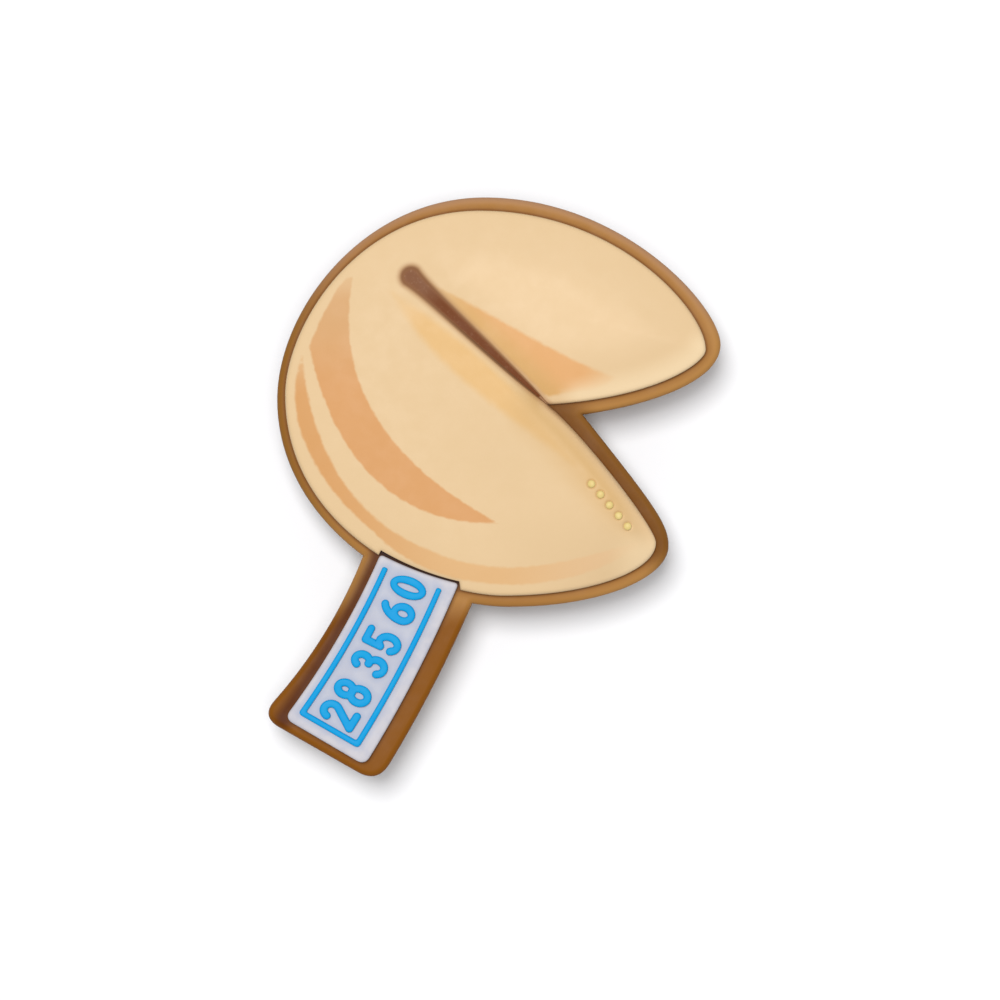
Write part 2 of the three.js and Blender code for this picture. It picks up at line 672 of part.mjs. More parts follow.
function makeDigit(digit, left) {
  const shape = DIGIT_SHAPES[digit];
  const half = DIGIT_STROKE / 2;
  const ringLoops = ([centre, radiusX, radiusY]) => [
    arc(centre, radiusX + half, radiusY + half, 0, 360, RING_STEPS.outside).slice(1),
    arc(centre, radiusX - half, radiusY - half, 360, 0, RING_STEPS.inside).slice(1),
  ];
  const loops = [...shape.rings.map(ringLoops), ...shape.strokes.map((run) => [strokeOutline(run, DIGIT_STROKE)])];
  const place = new THREE.Vector2(left + half, DIGITS_MIDDLE.across - BOX.height / 2);
  const solids = loops.map((loop) =>
    solidOf(layeredSolid(loop.map((run) => run.map((at) => at.clone().add(place))), PRINT_LAYERS)),
  );
  return bentWithSlip(geometryFrom(solids.reduce((joined, solid) => joined.add(solid))));
}

// ---- Assembly ----

const paint = (color, roughness) => new THREE.MeshStandardMaterial({ color, roughness, metalness: 0 });
const BROWN = paint(0xa87038, 0.5);
const CREAM = paint(0xeccb9d, 0.55);
const DARK_BROWN = paint(0x7d5540, 0.6);
const PALE_LAVENDER = paint(0xd6d8e6, 0.55);
const SKY_BLUE = paint(0x1ba6ea, 0.45);
const PALE_YELLOW = paint(0xf2d782, 0.5);

const charm = new THREE.Group();

function addPiece(name, geometry, material) {
  const piece = new THREE.Mesh(geometry, material);
  piece.name = name;
  charm.add(piece);
}

addPiece('stud_cap', makeStudCap(), BROWN);
addPiece('stud_stem', makeStudStem(), BROWN);
addPiece('backing', makeBacking(), BROWN);
addPiece('cookie', makeCookie(), CREAM);
addPiece('crease', makeCrease(), DARK_BROWN);
addPiece('slip', makeSlip(), PALE_LAVENDER);
addPiece('slip_border', makeBorder(), SKY_BLUE);

const pairWidth = 2 * DIGIT.width + DIGIT_SPACE;
const digitsLength = DIGIT_PAIRS.length * pairWidth + (DIGIT_PAIRS.length - 1) * PAIR_SPACE;
DIGIT_PAIRS.forEach((pair, pairIndex) => {
  [...pair].forEach((digit, i) => {
    const left =
      DIGITS_MIDDLE.along -
      digitsLength / 2 +
      pairIndex * (pairWidth + PAIR_SPACE) +
      i * (DIGIT.width + DIGIT_SPACE);
    addPiece(`digit_${2 * pairIndex + i + 1}`, makeDigit(digit, left), SKY_BLUE);
  });
});

DOT_PLACES.forEach((place, i) => {
  const dot = dotSolid(place, 0, nearHalfTop(place) + DOT_STAND);
  addPiece(`dot_${i + 1}`, dot, PALE_YELLOW);
});

export default charm;
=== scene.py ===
"""The looks of a soft PVC shoe charm: an open fortune cookie with its paper slip hanging out.

Shapes are drawn in millimetres, in the CAD part's frame, and stored in metres. +Z is up, out of the picture.
"""

import math

import bpy
import numpy as np
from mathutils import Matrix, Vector, geometry


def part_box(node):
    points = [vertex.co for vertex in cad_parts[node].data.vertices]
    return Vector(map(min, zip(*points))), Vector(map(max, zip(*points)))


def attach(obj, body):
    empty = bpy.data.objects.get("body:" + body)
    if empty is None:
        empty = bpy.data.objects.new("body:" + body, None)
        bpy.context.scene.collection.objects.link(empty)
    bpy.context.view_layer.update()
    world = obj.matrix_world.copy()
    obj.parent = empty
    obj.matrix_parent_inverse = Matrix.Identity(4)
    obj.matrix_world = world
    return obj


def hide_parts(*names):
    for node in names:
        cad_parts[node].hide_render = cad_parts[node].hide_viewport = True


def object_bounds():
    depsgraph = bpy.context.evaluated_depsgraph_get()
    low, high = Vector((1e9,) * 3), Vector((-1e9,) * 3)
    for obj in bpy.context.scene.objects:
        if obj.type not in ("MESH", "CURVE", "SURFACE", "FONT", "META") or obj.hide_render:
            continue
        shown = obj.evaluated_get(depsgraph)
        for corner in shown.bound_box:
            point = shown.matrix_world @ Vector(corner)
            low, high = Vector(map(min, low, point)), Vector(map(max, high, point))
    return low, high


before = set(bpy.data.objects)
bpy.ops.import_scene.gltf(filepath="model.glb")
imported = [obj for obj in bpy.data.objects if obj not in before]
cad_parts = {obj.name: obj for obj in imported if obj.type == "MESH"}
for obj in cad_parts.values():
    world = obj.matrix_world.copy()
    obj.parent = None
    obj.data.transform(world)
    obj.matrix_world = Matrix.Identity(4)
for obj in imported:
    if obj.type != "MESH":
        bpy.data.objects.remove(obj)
CAD_LOW, CAD_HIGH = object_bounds()
MM = 0.001

# ---- Sizes, in millimetres ----

# They are the CAD part's where it has the same detail, but the roundings of the cookie's, the slip's and the
# print's edges are a little softer here. The crease's groove and filling, the dimples round the dots and the
# marks under the stud's foot are this script's own.

# The backing's levels, from the frame, and its edge roundings.
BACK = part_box("backing")[0].z / MM
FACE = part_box("backing")[1].z / MM
BACK_EDGE = 0.25
FACE_EDGE = 0.4

# The stud. The marks under its foot are a shallow gate mark in its middle and a ring round it, each given
# by radius and depth.
FOOT_RADIUS = 5.3
CAP_RADIUS = 6.3
CAP_HEIGHT = 1.9
CAP_TOP_ROUND = 0.5
STEM_RADIUS = 3.7
STEM_FLARE = 0.5
STEM_FILLET = 0.25
GATE_MARK = ((0, 0.18), (0.7, 0.18), (0.85, 0.1), (0.95, 0.03), (1.1, 0))
FOOT_RING = ((3.4, 0), (3.5, 0.06), (3.65, 0.08), (3.8, 0.06), (3.9, 0))

# The cookie's relief, measured up from the backing's face.
COOKIE_EDGE = 0.55
COOKIE_EDGE_ROUND = 0.25
CROWN_RISE = 0.65
CROWN_SPREAD = 6.0
FLAP_RISE = 1.0
FLAP_SPREAD = 10.0
FLAP_ROUND = 1.5
FLAP_LIP = 0.3
FLAP_KEEL_FADE = 5.0

# The edge over the slip's slot is rounded down less, the more so the nearer to the slot's wall.
SLOT_EDGE_SHARP = 0.5
SLOT_EDGE_REACH = 0.6

# The fold runs from the crease's round head to the corner of the cookie's mouth. A place across the groove
# is a share of its half breadth: the groove is at full depth up to one share and ends at another.
CREASE_HEAD = np.array([-3.9, 10.8])
CREASE_HEAD_RADIUS = 0.75
CREASE_BREADTH = 1.15
CREASE_NECK = 0.9
CREASE_TAPER = 0.98
CREASE_SHORT_OF_MOUTH = 0.4
CREASE_FLOOR = 0.3
GROOVE_DEPTH = 0.3
GROOVE_FLAT = 0.35
GROOVE_REACH = 1.25
GROOVE_LEAST = 0.07
GROOVE_SHARE_AT_MOUTH = 0.6
CREASE_FILL = 0.08
CREASE_FILL_ROUND = 0.2
CREASE_FILL_BREADTH = 0.8
CREASE_FILL_LENGTH = 0.97

# The slip, the backing's tab under it and the slot that it comes out of. A side runs from the free end to
# the root by way of the point where its end headings cross.
SLIP_INNER_SIDE = ((-12.3, -18.41), (-8.46, -13.31), (-5.94, -7.55))
SLIP_OUTER_SIDE = ((-6.98, -21.53), (-3.42, -15.84), (-0.76, -9.49))
SLIP_ROOT_BEND = (-3.48, -8.84)
SLIP_CORNER = 0.65
SLIP_ROOT_CORNER = 0.3
SLIP_HEIGHT = 0.6
SLIP_EDGE = 0.18
TAB_INNER_SIDE = ((-13.95, -18.3), (-9.5, -13.68), (-7.12, -7.7))
TAB_OUTER_SIDE = ((-6.15, -22.75), (-2.65, -17.25), (0.1, -10.9))
TAB_TUCK = ((-5.2, -3.5), (2.0, -6.5))
TAB_CORNER = 1.5
SLOT_INNER_CORNER = (-5.9, -7.3)
SLOT_OUTER_CORNER = (-0.72, -9.35)
SLOT_BEND = (-3.4, -8.75)
SLOT_MOUTH = ((-7.1, -9.6), (-0.55, -11.0))

# The raised print, placed by distances along the slip from its free end and across it from its outer side.
SLIP_ALONG = 12.7
SLIP_ACROSS = 5.8
PRINT_HEIGHT = 0.28
PRINT_EDGE = 0.1
BORDER_STROKE = 0.38
BORDER_END = 0.92
BORDER_OPEN = 12.0
BORDER_OUTER = 1.1
BORDER_INNER = 5.1
BORDER_OUTSIDE_CORNER = 0.3
BORDER_INSIDE_CORNER = 0.12
BORDER_TIP = 0.15
PANEL_CORNER = 0.1
PANEL_PAST_BORDER = 0.3
DIGIT_STROKE = 0.52
DIGIT_WIDTH = 1.42
DIGIT_HEIGHT = 2.6
DIGIT_PAIRS = ("28", "35", "60")
DIGIT_SPACE = 0.26
PAIR_SPACE = 0.72
DIGITS_MIDDLE = (6.65, 3.1)

# The digits' forms, as shares of the box that their middle lines fill: the radii of a lower and an upper
# half, how wide the upper half is beside the lower one, how much larger than a lower half the rings of a 5
# and a 6 are, and where a 5's upright stands.
LOWER_RADIUS = 0.27
UPPER_RADIUS = 0.24
UPPER_BREADTH = 0.9
FIVE_RING = 1.15
SIX_RING = 1.08
FIVE_UPRIGHT = 0.125

# The dots in the flap. A dimple round each is given by its depth and by where it is deepest and where it
# ends, in dot radii.
DOT_FIRST = np.array([8.0, -2.9])
DOT_LAST = np.array([10.4, -5.7])
DOT_COUNT = 5
DOT_RADIUS = 0.26
DOT_SEAT_DEPTH = 0.15
DOT_STAND = 0.14
DOT_ROUND = 0.8 * DOT_RADIUS
DIMPLE_DEPTH = 0.075
DIMPLE_FLOOR = 0.95
DIMPLE_RIM = 1.5

# How far a piece, or a raised mark, reaches down into the one that it lies on.
SUNK = 0.02
MARK_SUNK = 0.03

# An anchor is a point, the curve's headings there on arriving and on leaving, in degrees, and how far the
# curve holds them before and after it.
COOKIE_OUTLINE = (
    ((5.15, 2.35), 138.5, 3.5, 3.4, 7.0),
    ((15.6, 6.0), 90, 90, 0.95, 2.55),
    ((0.65, 15.2), 180, 180, 9.15, 8.35),
    ((-12.25, 3.0), 270, 270, 4.35, 9.1),
    ((2.25, -10.3), 0, 0, 4.95, 5.6),
    ((12.3, -6.8), 90, 90, 1.9, 1.0),
)
BACKING_OUTLINE = (
    ((7.45, 1.7), 128.5, 8, 7.75, 4.1),
    ((16.6, 6.35), 90, 90, 2.6, 2.45),
    ((0.95, 16.1), 180, 180, 9.25, 8.05),
    ((-12.8, 2.7), 270, 270, 5.9, 8.25),
    ((2.6, -11.05), 0, 0, 6.7, 6.2),
    ((13.15, -7.0), 90, 90, 2.1, 1.45),
)

# The colours printed on the cookie. Each is a closed outline of cubic curves: a point and two handles, up
# to the next point.
CRESCENT = (
    ((-7.74, 10.77), (-8.68, 11.05), (-10.37, 6.96)),
    ((-10.64, 6.22), (-9.35, -0.34), (-5.5, -5.77)),
    ((1.86, -5.48), (-4.48, -2.11), (-9.27, 3.11)),
)
RIM_CRESCENT = (
    ((-11.1, 5.64), (-12.82, 1.35), (-9.75, -3.34)),
    ((-6.5, -5.95), (-2.06, -10.83), (6.99, -10.48)),
    ((11.68, -6.61), (6.87, -7.83), (2.36, -9.63)),
    ((-2.69, -7.27), (-8.19, -5.2), (-10.7, 0.13)),
)
FOLD_SHADE = (
    ((-2.56, 10.28), (1.58, 8.41), (5.27, 5.7)),
    ((9.56, 4.15), (8.39, 2.85), (6.55, 3.37)),
    ((5.09, 2.83), (2.54, 5.31), (-0.01, 7.8)),
)
FLAP_BAND = (
    ((-5.17, 9.78), (-2.59, 4.62), (2.52, 1.75)),
    ((6.91, -1.64), (3.82, 2.94), (-0.48, 6.86)),
)

# Fineness of the outlines, and of the points inside them. Steps and pitches are lengths.
EDGE_STEP = 0.12
PATCH_STEP = 0.2
PRINT_STEP = 0.1
PANEL_STEP = 0.3
ROUNDING_STEPS = 6
BACKING_PITCH = 0.45
COOKIE_PITCH = 0.22
CREASE_PITCH = 0.09
DOT_PITCH = 0.08
SLIP_PITCH = 0.16
PRINT_PITCH = 0.12
LATHE_SIDES = 96
BEND_POINTS = 12
FILLET_POINTS = 8
SLOT_WALL_POINTS = 40
HEAD_STEPS = 24
FILL_HEAD_STEPS = 32
FILL_POINTS = 90
DOT_SIDES = 32
DOT_ROW_SIDES = 20
DIGIT_RING_SIDES = 48
DIGIT_HOLE_SIDES = 40

# Rows of points: past the roundings of the cookie's and the slip's edges, beside the pieces on the backing,
# across the crease in shares of its half breadth, and round a dot in dot radii. A piece's own points stay
# clear of the last two.
COOKIE_ROWS = (0.4, 0.6)
SLIP_ROWS = (0.3,)
BACKING_ROWS = (0, 0.12, 0.26, 0.45, 0.7)
CREASE_ROWS = (0, 0.25, 0.45, 0.58, 0.7, 0.8, 0.9, 1.0, 1.1, 1.22, 1.4)
CREASE_ROWS_CLEAR = 1.5
DOT_ROWS = (0.9, 1.05, 1.2, 1.35, 1.55)
DOT_ROWS_CLEAR = 1.8

# How far the rows on the backing stay from its edge roundings, and those along the crease from the rim.
BACKING_ROWS_APART = 0.05
CREASE_ROWS_APART = 0.03

# Two points nearer than this are one, a row's points keep this share of its inset, and a bend up to this
# angle is shaded smooth.
SAME_POINT = 1e-5
ROW_KEEPS = 0.96
SMOOTH_UP_TO = math.radians(38)

# A length too small and one too large to matter, and how many points are measured at once.
TINY = 1e-12
FAR_OFF = 9.0
CHUNK = 1500

# ---- Outlines ----


def bezier(controls, count=160):
    """Points along a quadratic or cubic curve, ends included."""
    level = np.array(controls, float)[:, None, :] * np.ones((1, count, 1))
    share = np.linspace(0, 1, count)[:, None]
    while len(level) > 1:
        level = level[:-1] * (1 - share) + level[1:] * share
    return level[0]


def marks_along(path):
    """How far along the path each of its points is."""
    return np.r_[0, np.cumsum(np.hypot(*np.diff(path, axis=0).T))]


def at_marks(path, wanted):
    marks = marks_along(path)
    return np.column_stack([np.interp(wanted, marks, path[:, k]) for k in (0, 1)])


def evenly(path, step):
    """The same path in steps of one length, ends included."""
    length = marks_along(path)[-1]
    return at_marks(path, np.linspace(0, length, max(2, round(length / step)) + 1))


def trimmed(path, from_start, from_end):
    return at_marks(path, np.linspace(from_start, marks_along(path)[-1] - from_end, len(path)))


def onward(point, degrees, reach):
    angle = math.radians(degrees)
    return np.array(point) + reach * np.array([math.cos(angle), math.sin(angle)])


def stretches(anchors):
    """The stretches of a closed outline, each without its last point."""
    made = []
    for here, there in zip(anchors, anchors[1:] + anchors[:1]):
        leave = onward(here[0], here[2], here[4])
        arrive = onward(there[0], there[1], -there[3])
        made.append(evenly(bezier([here[0], leave, arrive, there[0]]), EDGE_STEP)[:-1])
    return made


def patch_outline(curves):
    ends = [curve[0] for curve in curves[1:] + curves[:1]]
    return np.vstack([evenly(bezier([*curve, end]), PATCH_STEP)[:-1] for curve, end in zip(curves, ends)])


def rounded_loop(corners, step):
    """A closed outline. A corner is a point, how far off the rounding starts, and the next edge's bend."""
    edges = []
    for i, (at, _, bend) in enumerate(corners):
        after = corners[(i + 1) % len(corners)][0]
        edges.append(bezier([at, after] if bend is None else [at, bend, after]))
    loop = []
    for i, (at, start, _) in enumerate(corners):
        before = trimmed(edges[i - 1], corners[i - 1][1], start)
        run = trimmed(edges[i], start, corners[(i + 1) % len(corners)][1])
        if start:
            loop.append(bezier([before[-1], at, run[0]], 2 * ROUNDING_STEPS)[:-1])
        loop.append(evenly(run, step)[:-1])
    return np.vstack(loop)


def arc(centre, radius_x, radius_y, start, end, steps=24):
    """Points from one angle to another, in degrees, along an ellipse."""
    angles = np.radians(np.linspace(start, end, steps + 1))
    return np.column_stack([centre[0] + radius_x * np.cos(angles), centre[1] + radius_y * np.sin(angles)])


def ring(centre, radius_x, radius_y, steps):
    """A closed ellipse."""
    return arc(centre, radius_x, radius_y, 0, 360, steps)[:-1]


def stroke_outline(path, width):
    """The outline of a stroke with round ends along a path."""
    ahead = np.vstack([path[1:], path[-1:]]) - np.vstack([path[:1], path[:-1]])
    ahead /= np.linalg.norm(ahead, axis=1)[:, None]
    half = width / 2
    side = np.column_stack([-ahead[:, 1], ahead[:, 0]]) * half
    turn = np.degrees(np.arctan2(side[:, 1], side[:, 0]))
    end_cap = arc(path[-1], half, half, turn[-1], turn[-1] - 180, 2 * ROUNDING_STEPS)
    start_cap = arc(path[0], half, half, turn[0] + 180, turn[0], 2 * ROUNDING_STEPS)
    loop = np.vstack([path[:-1] + side[:-1], end_cap, (path - side)[::-1][1:-1], start_cap[:-1]])
    return loop[::-1]


# ---- Distances ----


def closed(loop):
    return np.vstack([loop, loop[:1]])


def path_segments(path):
    return path[:-1], path[1:]


def distance(points, segments):
    """How far each point is from the nearest of the segments."""
    start, end = segments
    span = end - start
    square = np.maximum((span**2).sum(1), TINY)
    nearest = []
    for low in range(0, len(points), CHUNK):
        apart = points[low : low + CHUNK, None, :] - start
        share = np.clip((apart * span).sum(2) / square, 0, 1)
        nearest.append((((apart - share[..., None] * span) ** 2).sum(2)).min(1))
    return np.sqrt(np.concatenate(nearest))


def inside(points, loop):
    start, end = loop, np.roll(loop, -1, axis=0)
    rise = end[:, 1] - start[:, 1]
    slope = (end[:, 0] - start[:, 0]) / np.where(rise == 0, TINY, rise)
    found = []
    for low in range(0, len(points), CHUNK):
        x, y = points[low : low + CHUNK, :1], points[low : low + CHUNK, 1:]
        crosses = (start[:, 1] > y) != (end[:, 1] > y)
        found.append((crosses & (x < start[:, 0] + (y - start[:, 1]) * slope)).sum(1) % 2 == 1)
    return np.concatenate(found)


def signed_distance(points, loop):
    """Below zero inside the loop."""
    apart = distance(points, path_segments(closed(loop)))
    return np.where(inside(points, loop), -apart, apart)


def smoothstep(value, low, high):
    share = np.clip((value - low) / (high - low), 0, 1)
    return share * share * (3 - 2 * share)


def rounded(apart, width):
    """From 0 at the edge to 1 at the width, as a quarter circle rises."""
    left = 1 - np.clip(apart / width, 0, 1)
    return np.sqrt(1 - left * left)


def swelling(apart, width):
    """From 0 at the edge to 1 at the width, as a parabola rises."""
    left = 1 - np.clip(apart / width, 0, 1)
    return 1 - left * left


# ---- Flat areas and the solids on them ----


def anticlockwise(loop):
    ahead = np.roll(loop, -1, axis=0)
    area = (loop[:, 0] * ahead[:, 1] - ahead[:, 0] * loop[:, 1]).sum()
    return loop if area > 0 else loop[::-1]


class Area:
    """The area inside any of its shapes. A shape is an outline and the holes in it."""

    def __init__(self, *shapes):
        self.shapes = [[anticlockwise(loop) for loop in shape] for shape in shapes]
        flat, triangles = self.mesh()
        edges = rim_of(triangles)
        self.rim = flat[edges[:, 0]], flat[edges[:, 1]]

    def holds(self, points):
        kept = np.zeros(len(points), bool)
        for outline, *holes in self.shapes:
            within = inside(points, outline)
            for hole in holes:
                within &= ~inside(points, hole)
            kept |= within
        return kept

    def mesh(self, points=()):
        """Points and triangles that cover the area, through the given points."""
        loops = [loop for shape in self.shapes for loop in shape]
        starts = np.cumsum([0] + [len(loop) for loop in loops])
        corners = [Vector(p) for p in np.vstack([*loops, np.reshape(points, (-1, 2))])]
        faces = [list(range(a, b)) for a, b in zip(starts, starts[1:])]
        made = geometry.delaunay_2d_cdt(corners, [], faces, 0, SAME_POINT, True)
        flat = np.array([tuple(v) for v in made[0]])
        triangles = np.array([t for t, within in zip(made[2], made[5]) if self.counts(set(within))])
        used, renumbered = np.unique(triangles, return_inverse=True)
        return flat[used], renumbered.reshape(-1, 3)

    def counts(self, within):
        """Whether a triangle inside the loops of these numbers is part of the area."""
        first = 0
        for shape in self.shapes:
            holes = set(range(first + 1, first + len(shape)))
            if first in within and not holes & within:
                return True
            first += len(shape)
        return False

    def points_at(self, insets, pitch):
        """Rows of points at distances in from the rim, and a grid over the rest."""
        rows = []
        for inset in insets:
            for loop in (loop for shape in self.shapes for loop in shape):
                for sign in (1, -1):
                    row = loop + sign * inset * normals(loop)
                    kept = self.holds(row) & (distance(row, self.rim) > ROW_KEEPS * inset)
                    rows.append(row[kept])
        low, high = self.rim[0].min(0), self.rim[0].max(0)
        across = np.arange(low[0], high[0], pitch)
        up = np.arange(low[1], high[1], pitch * math.sqrt(3) / 2)
        x, y = np.meshgrid(across, up)
        x = x + (np.arange(len(up)) % 2)[:, None] * pitch / 2
        grid = np.column_stack([x.ravel(), y.ravel()])
        grid = grid[self.holds(grid)]
        clear = max(insets) + pitch / 2
        return np.vstack([*rows, grid[distance(grid, self.rim) > clear]])


def normals(loop):
    """Unit vectors square to a closed loop, to its left."""
    ahead = np.roll(loop, -1, axis=0) - np.roll(loop, 1, axis=0)
    ahead /= np.linalg.norm(ahead, axis=1)[:, None]
    return np.column_stack([-ahead[:, 1], ahead[:, 0]])


def rim_of(triangles):
    """The edges that only one triangle has, with the area on their left."""
    edges = np.vstack([triangles[:, [0, 1]], triangles[:, [1, 2]], triangles[:, [2, 0]]])
    both = {tuple(edge) for edge in edges.tolist()}
    return np.array([(a, b) for a, b in edges.tolist() if (b, a) not in both])


def round_insets(radius):
    """Distances in from an edge at which a quarter circle of this radius has turned by equal steps."""
    turns = np.linspace(0, math.pi / 2, ROUNDING_STEPS + 1)[1:]
    return list(radius * (1 - np.cos(turns)))


def build(name, vertices, faces, attributes=None):
    mesh = bpy.data.meshes.new(name)
    mesh.from_pydata((np.asarray(vertices) * MM).tolist(), [], faces)
    mesh.update()
    for label, values in (attributes or {}).items():
        mesh.attributes.new(label, "FLOAT", "POINT").data.foreach_set("value", values.astype(np.float32))
    mesh.shade_smooth()
    mesh.set_sharp_from_angle(angle=SMOOTH_UP_TO)
    piece = bpy.data.objects.new(name, mesh)
    bpy.context.scene.collection.objects.link(piece)
    return piece


def slab(name, flat, triangles, top, bottom, attributes=None):
    """A closed solid over a flat mesh, between an upper surface and a lower surface or level."""
    count = len(flat)
    upper = np.column_stack([flat, top])
    lower = np.column_stack([flat, np.broadcast_to(bottom, count)])
    faces = triangles.tolist()
    faces += (triangles[:, ::-1] + count).tolist()
    faces += [(a + count, b + count, b, a) for a, b in rim_of(triangles).tolist()]
    doubled = {label: np.tile(values, 2) for label, values in (attributes or {}).items()}
    return build(name, np.vstack([upper, lower]), faces, doubled)


def stands_for(piece, slot, material, *nodes):
    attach(piece, "root")
    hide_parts(*nodes)
    piece.data.materials.append(material)


# ---- The cookie's relief ----

FAR_MOUTH, *REST_OF_EDGE, NEAR_MOUTH = stretches(COOKIE_OUTLINE)
MOUTH_CORNER = FAR_MOUTH[0]
COOKIE_LOOP = np.vstack([FAR_MOUTH, *REST_OF_EDGE, NEAR_MOUTH])
WHOLE_EDGE = path_segments(closed(COOKIE_LOOP))
OUTER_EDGE = path_segments(np.vstack([*REST_OF_EDGE, NEAR_MOUTH[:1]]))
FLAP_MOUTH_EDGE = path_segments(np.vstack([NEAR_MOUTH, MOUTH_CORNER]))
FLAP_FREE_EDGE = path_segments(np.vstack([NEAR_MOUTH, MOUTH_CORNER, CREASE_HEAD]))
FOLD_LENGTH = np.linalg.norm(MOUTH_CORNER - CREASE_HEAD)
FOLD_ALONG = (MOUTH_CORNER - CREASE_HEAD) / FOLD_LENGTH
FOLD_ACROSS = np.array([-FOLD_ALONG[1], FOLD_ALONG[0]])
FOLD_ACROSS_TURN = math.degrees(math.atan2(FOLD_ACROSS[1], FOLD_ACROSS[0]))
CREASE_LENGTH = FOLD_LENGTH - CREASE_SHORT_OF_MOUTH
SLOT = rounded_loop(
    [
        (SLOT_MOUTH[1], 0, None),
        (SLOT_OUTER_CORNER, 0, SLOT_BEND),
        (SLOT_INNER_CORNER, 0, None),
        (SLOT_MOUTH[0], 0, None),
    ],
    EDGE_STEP,
)
SLOT_WALL = path_segments(bezier([SLOT_OUTER_CORNER, SLOT_BEND, SLOT_INNER_CORNER], SLOT_WALL_POINTS))
COOKIE = Area([COOKIE_LOOP, SLOT])
DOT_PLACES = [DOT_FIRST + (DOT_LAST - DOT_FIRST) * i / (DOT_COUNT - 1) for i in range(DOT_COUNT)]


def fold_place(points):
    """How far along the fold from the crease's head, and how far across it towards the far half."""
    apart = points - CREASE_HEAD
    return apart @ FOLD_ALONG, apart @ FOLD_ACROSS


def half_breadth(along):
    """The crease's, as far as this along the fold."""
    share = np.clip(along / CREASE_LENGTH, 0, 1)
    flare = (CREASE_HEAD_RADIUS - CREASE_BREADTH / 2) * np.exp(-share * CREASE_LENGTH / CREASE_NECK)
    return np.maximum(CREASE_BREADTH / 2 * np.sqrt(1 - share * CREASE_TAPER) + flare, GROOVE_LEAST)


def groove_share(points):
    """0 on the crease's middle line and 1 at its edge."""
    along, across = fold_place(points)
    off = np.where(along < 0, np.hypot(along, across), np.abs(across))
    past = np.maximum(along - CREASE_LENGTH, 0)
    return np.hypot(off / half_breadth(along), past / CREASE_SHORT_OF_MOUTH * GROOVE_SHARE_AT_MOUTH)


def far_top(points):
    """The far half's height over the backing, its rim's rounding left out."""
    return COOKIE_EDGE + CROWN_RISE * swelling(distance(points, WHOLE_EDGE), CROWN_SPREAD)


def near_top(points):
    """The near half's height: its flap rises towards its free edge, and the lip of that edge is rounded."""
    outer, free = distance(points, OUTER_EDGE), distance(points, FLAP_FREE_EDGE)
    parted = smoothstep(fold_place(points)[0] / FOLD_LENGTH, 0, 1)
    rise = FLAP_RISE * parted * (1 - smoothstep(free, 0, FLAP_SPREAD))
    lip = 1 + parted * (FLAP_LIP + (1 - FLAP_LIP) * rounded(free, FLAP_ROUND) - 1)
    bulk = CROWN_RISE * swelling(outer, CROWN_SPREAD) + rise * swelling(outer, FLAP_KEEL_FADE)
    return COOKIE_EDGE + bulk * lip


def groove_floor(points):
    depth = GROOVE_DEPTH * np.sqrt(half_breadth(fold_place(points)[0]) / CREASE_HEAD_RADIUS)
    return far_top(points) - depth


def cookie_height(points):
    """The relief's height over the backing's face."""
    far, near = far_top(points), near_top(points)
    along, across = fold_place(points)
    surface = np.where((across > 0) & (along > 0), far, near)
    sunk = 1 - smoothstep(groove_share(points), GROOVE_FLAT, GROOVE_REACH)
    surface = surface + (groove_floor(points) - surface) * sunk
    for place in DOT_PLACES:
        apart = np.linalg.norm(points - place, axis=1) / DOT_RADIUS
        surface = surface - DIMPLE_DEPTH * (1 - smoothstep(apart, DIMPLE_FLOOR, DIMPLE_RIM))
    # The edge is rounded down, and less so over the slip's slot.
    drop = COOKIE_EDGE_ROUND * (1 - rounded(distance(points, COOKIE.rim), COOKIE_EDGE_ROUND))
    return surface - drop * smoothstep(distance(points, SLOT_WALL), -SLOT_EDGE_SHARP, SLOT_EDGE_REACH)


def beside_fold(along, across):
    """Points at distances along the fold and across it."""
    return CREASE_HEAD + along[:, None] * FOLD_ALONG + across[:, None] * FOLD_ACROSS


def round_head(radius, steps):
    """Points round the crease's head, from one side of the fold to the other, ends left out."""
    return arc(CREASE_HEAD, radius, radius, FOLD_ACROSS_TURN, FOLD_ACROSS_TURN + 180, steps)[1:-1]


def fold_points():
    """Rows of points along the crease, close together where its sides are steep."""
    along = np.arange(0, FOLD_LENGTH - CREASE_PITCH / 2, CREASE_PITCH)
    rows = [beside_fold(along, np.zeros(len(along)))]
    for share in CREASE_ROWS[1:]:
        rows += [beside_fold(along, sign * share * half_breadth(along)) for sign in (1, -1)]
    rows += [round_head(share * CREASE_HEAD_RADIUS, HEAD_STEPS) for share in CREASE_ROWS[1:]]
    points = np.vstack(rows)
    return points[COOKIE.holds(points) & (distance(points, COOKIE.rim) > CREASE_ROWS_APART)]


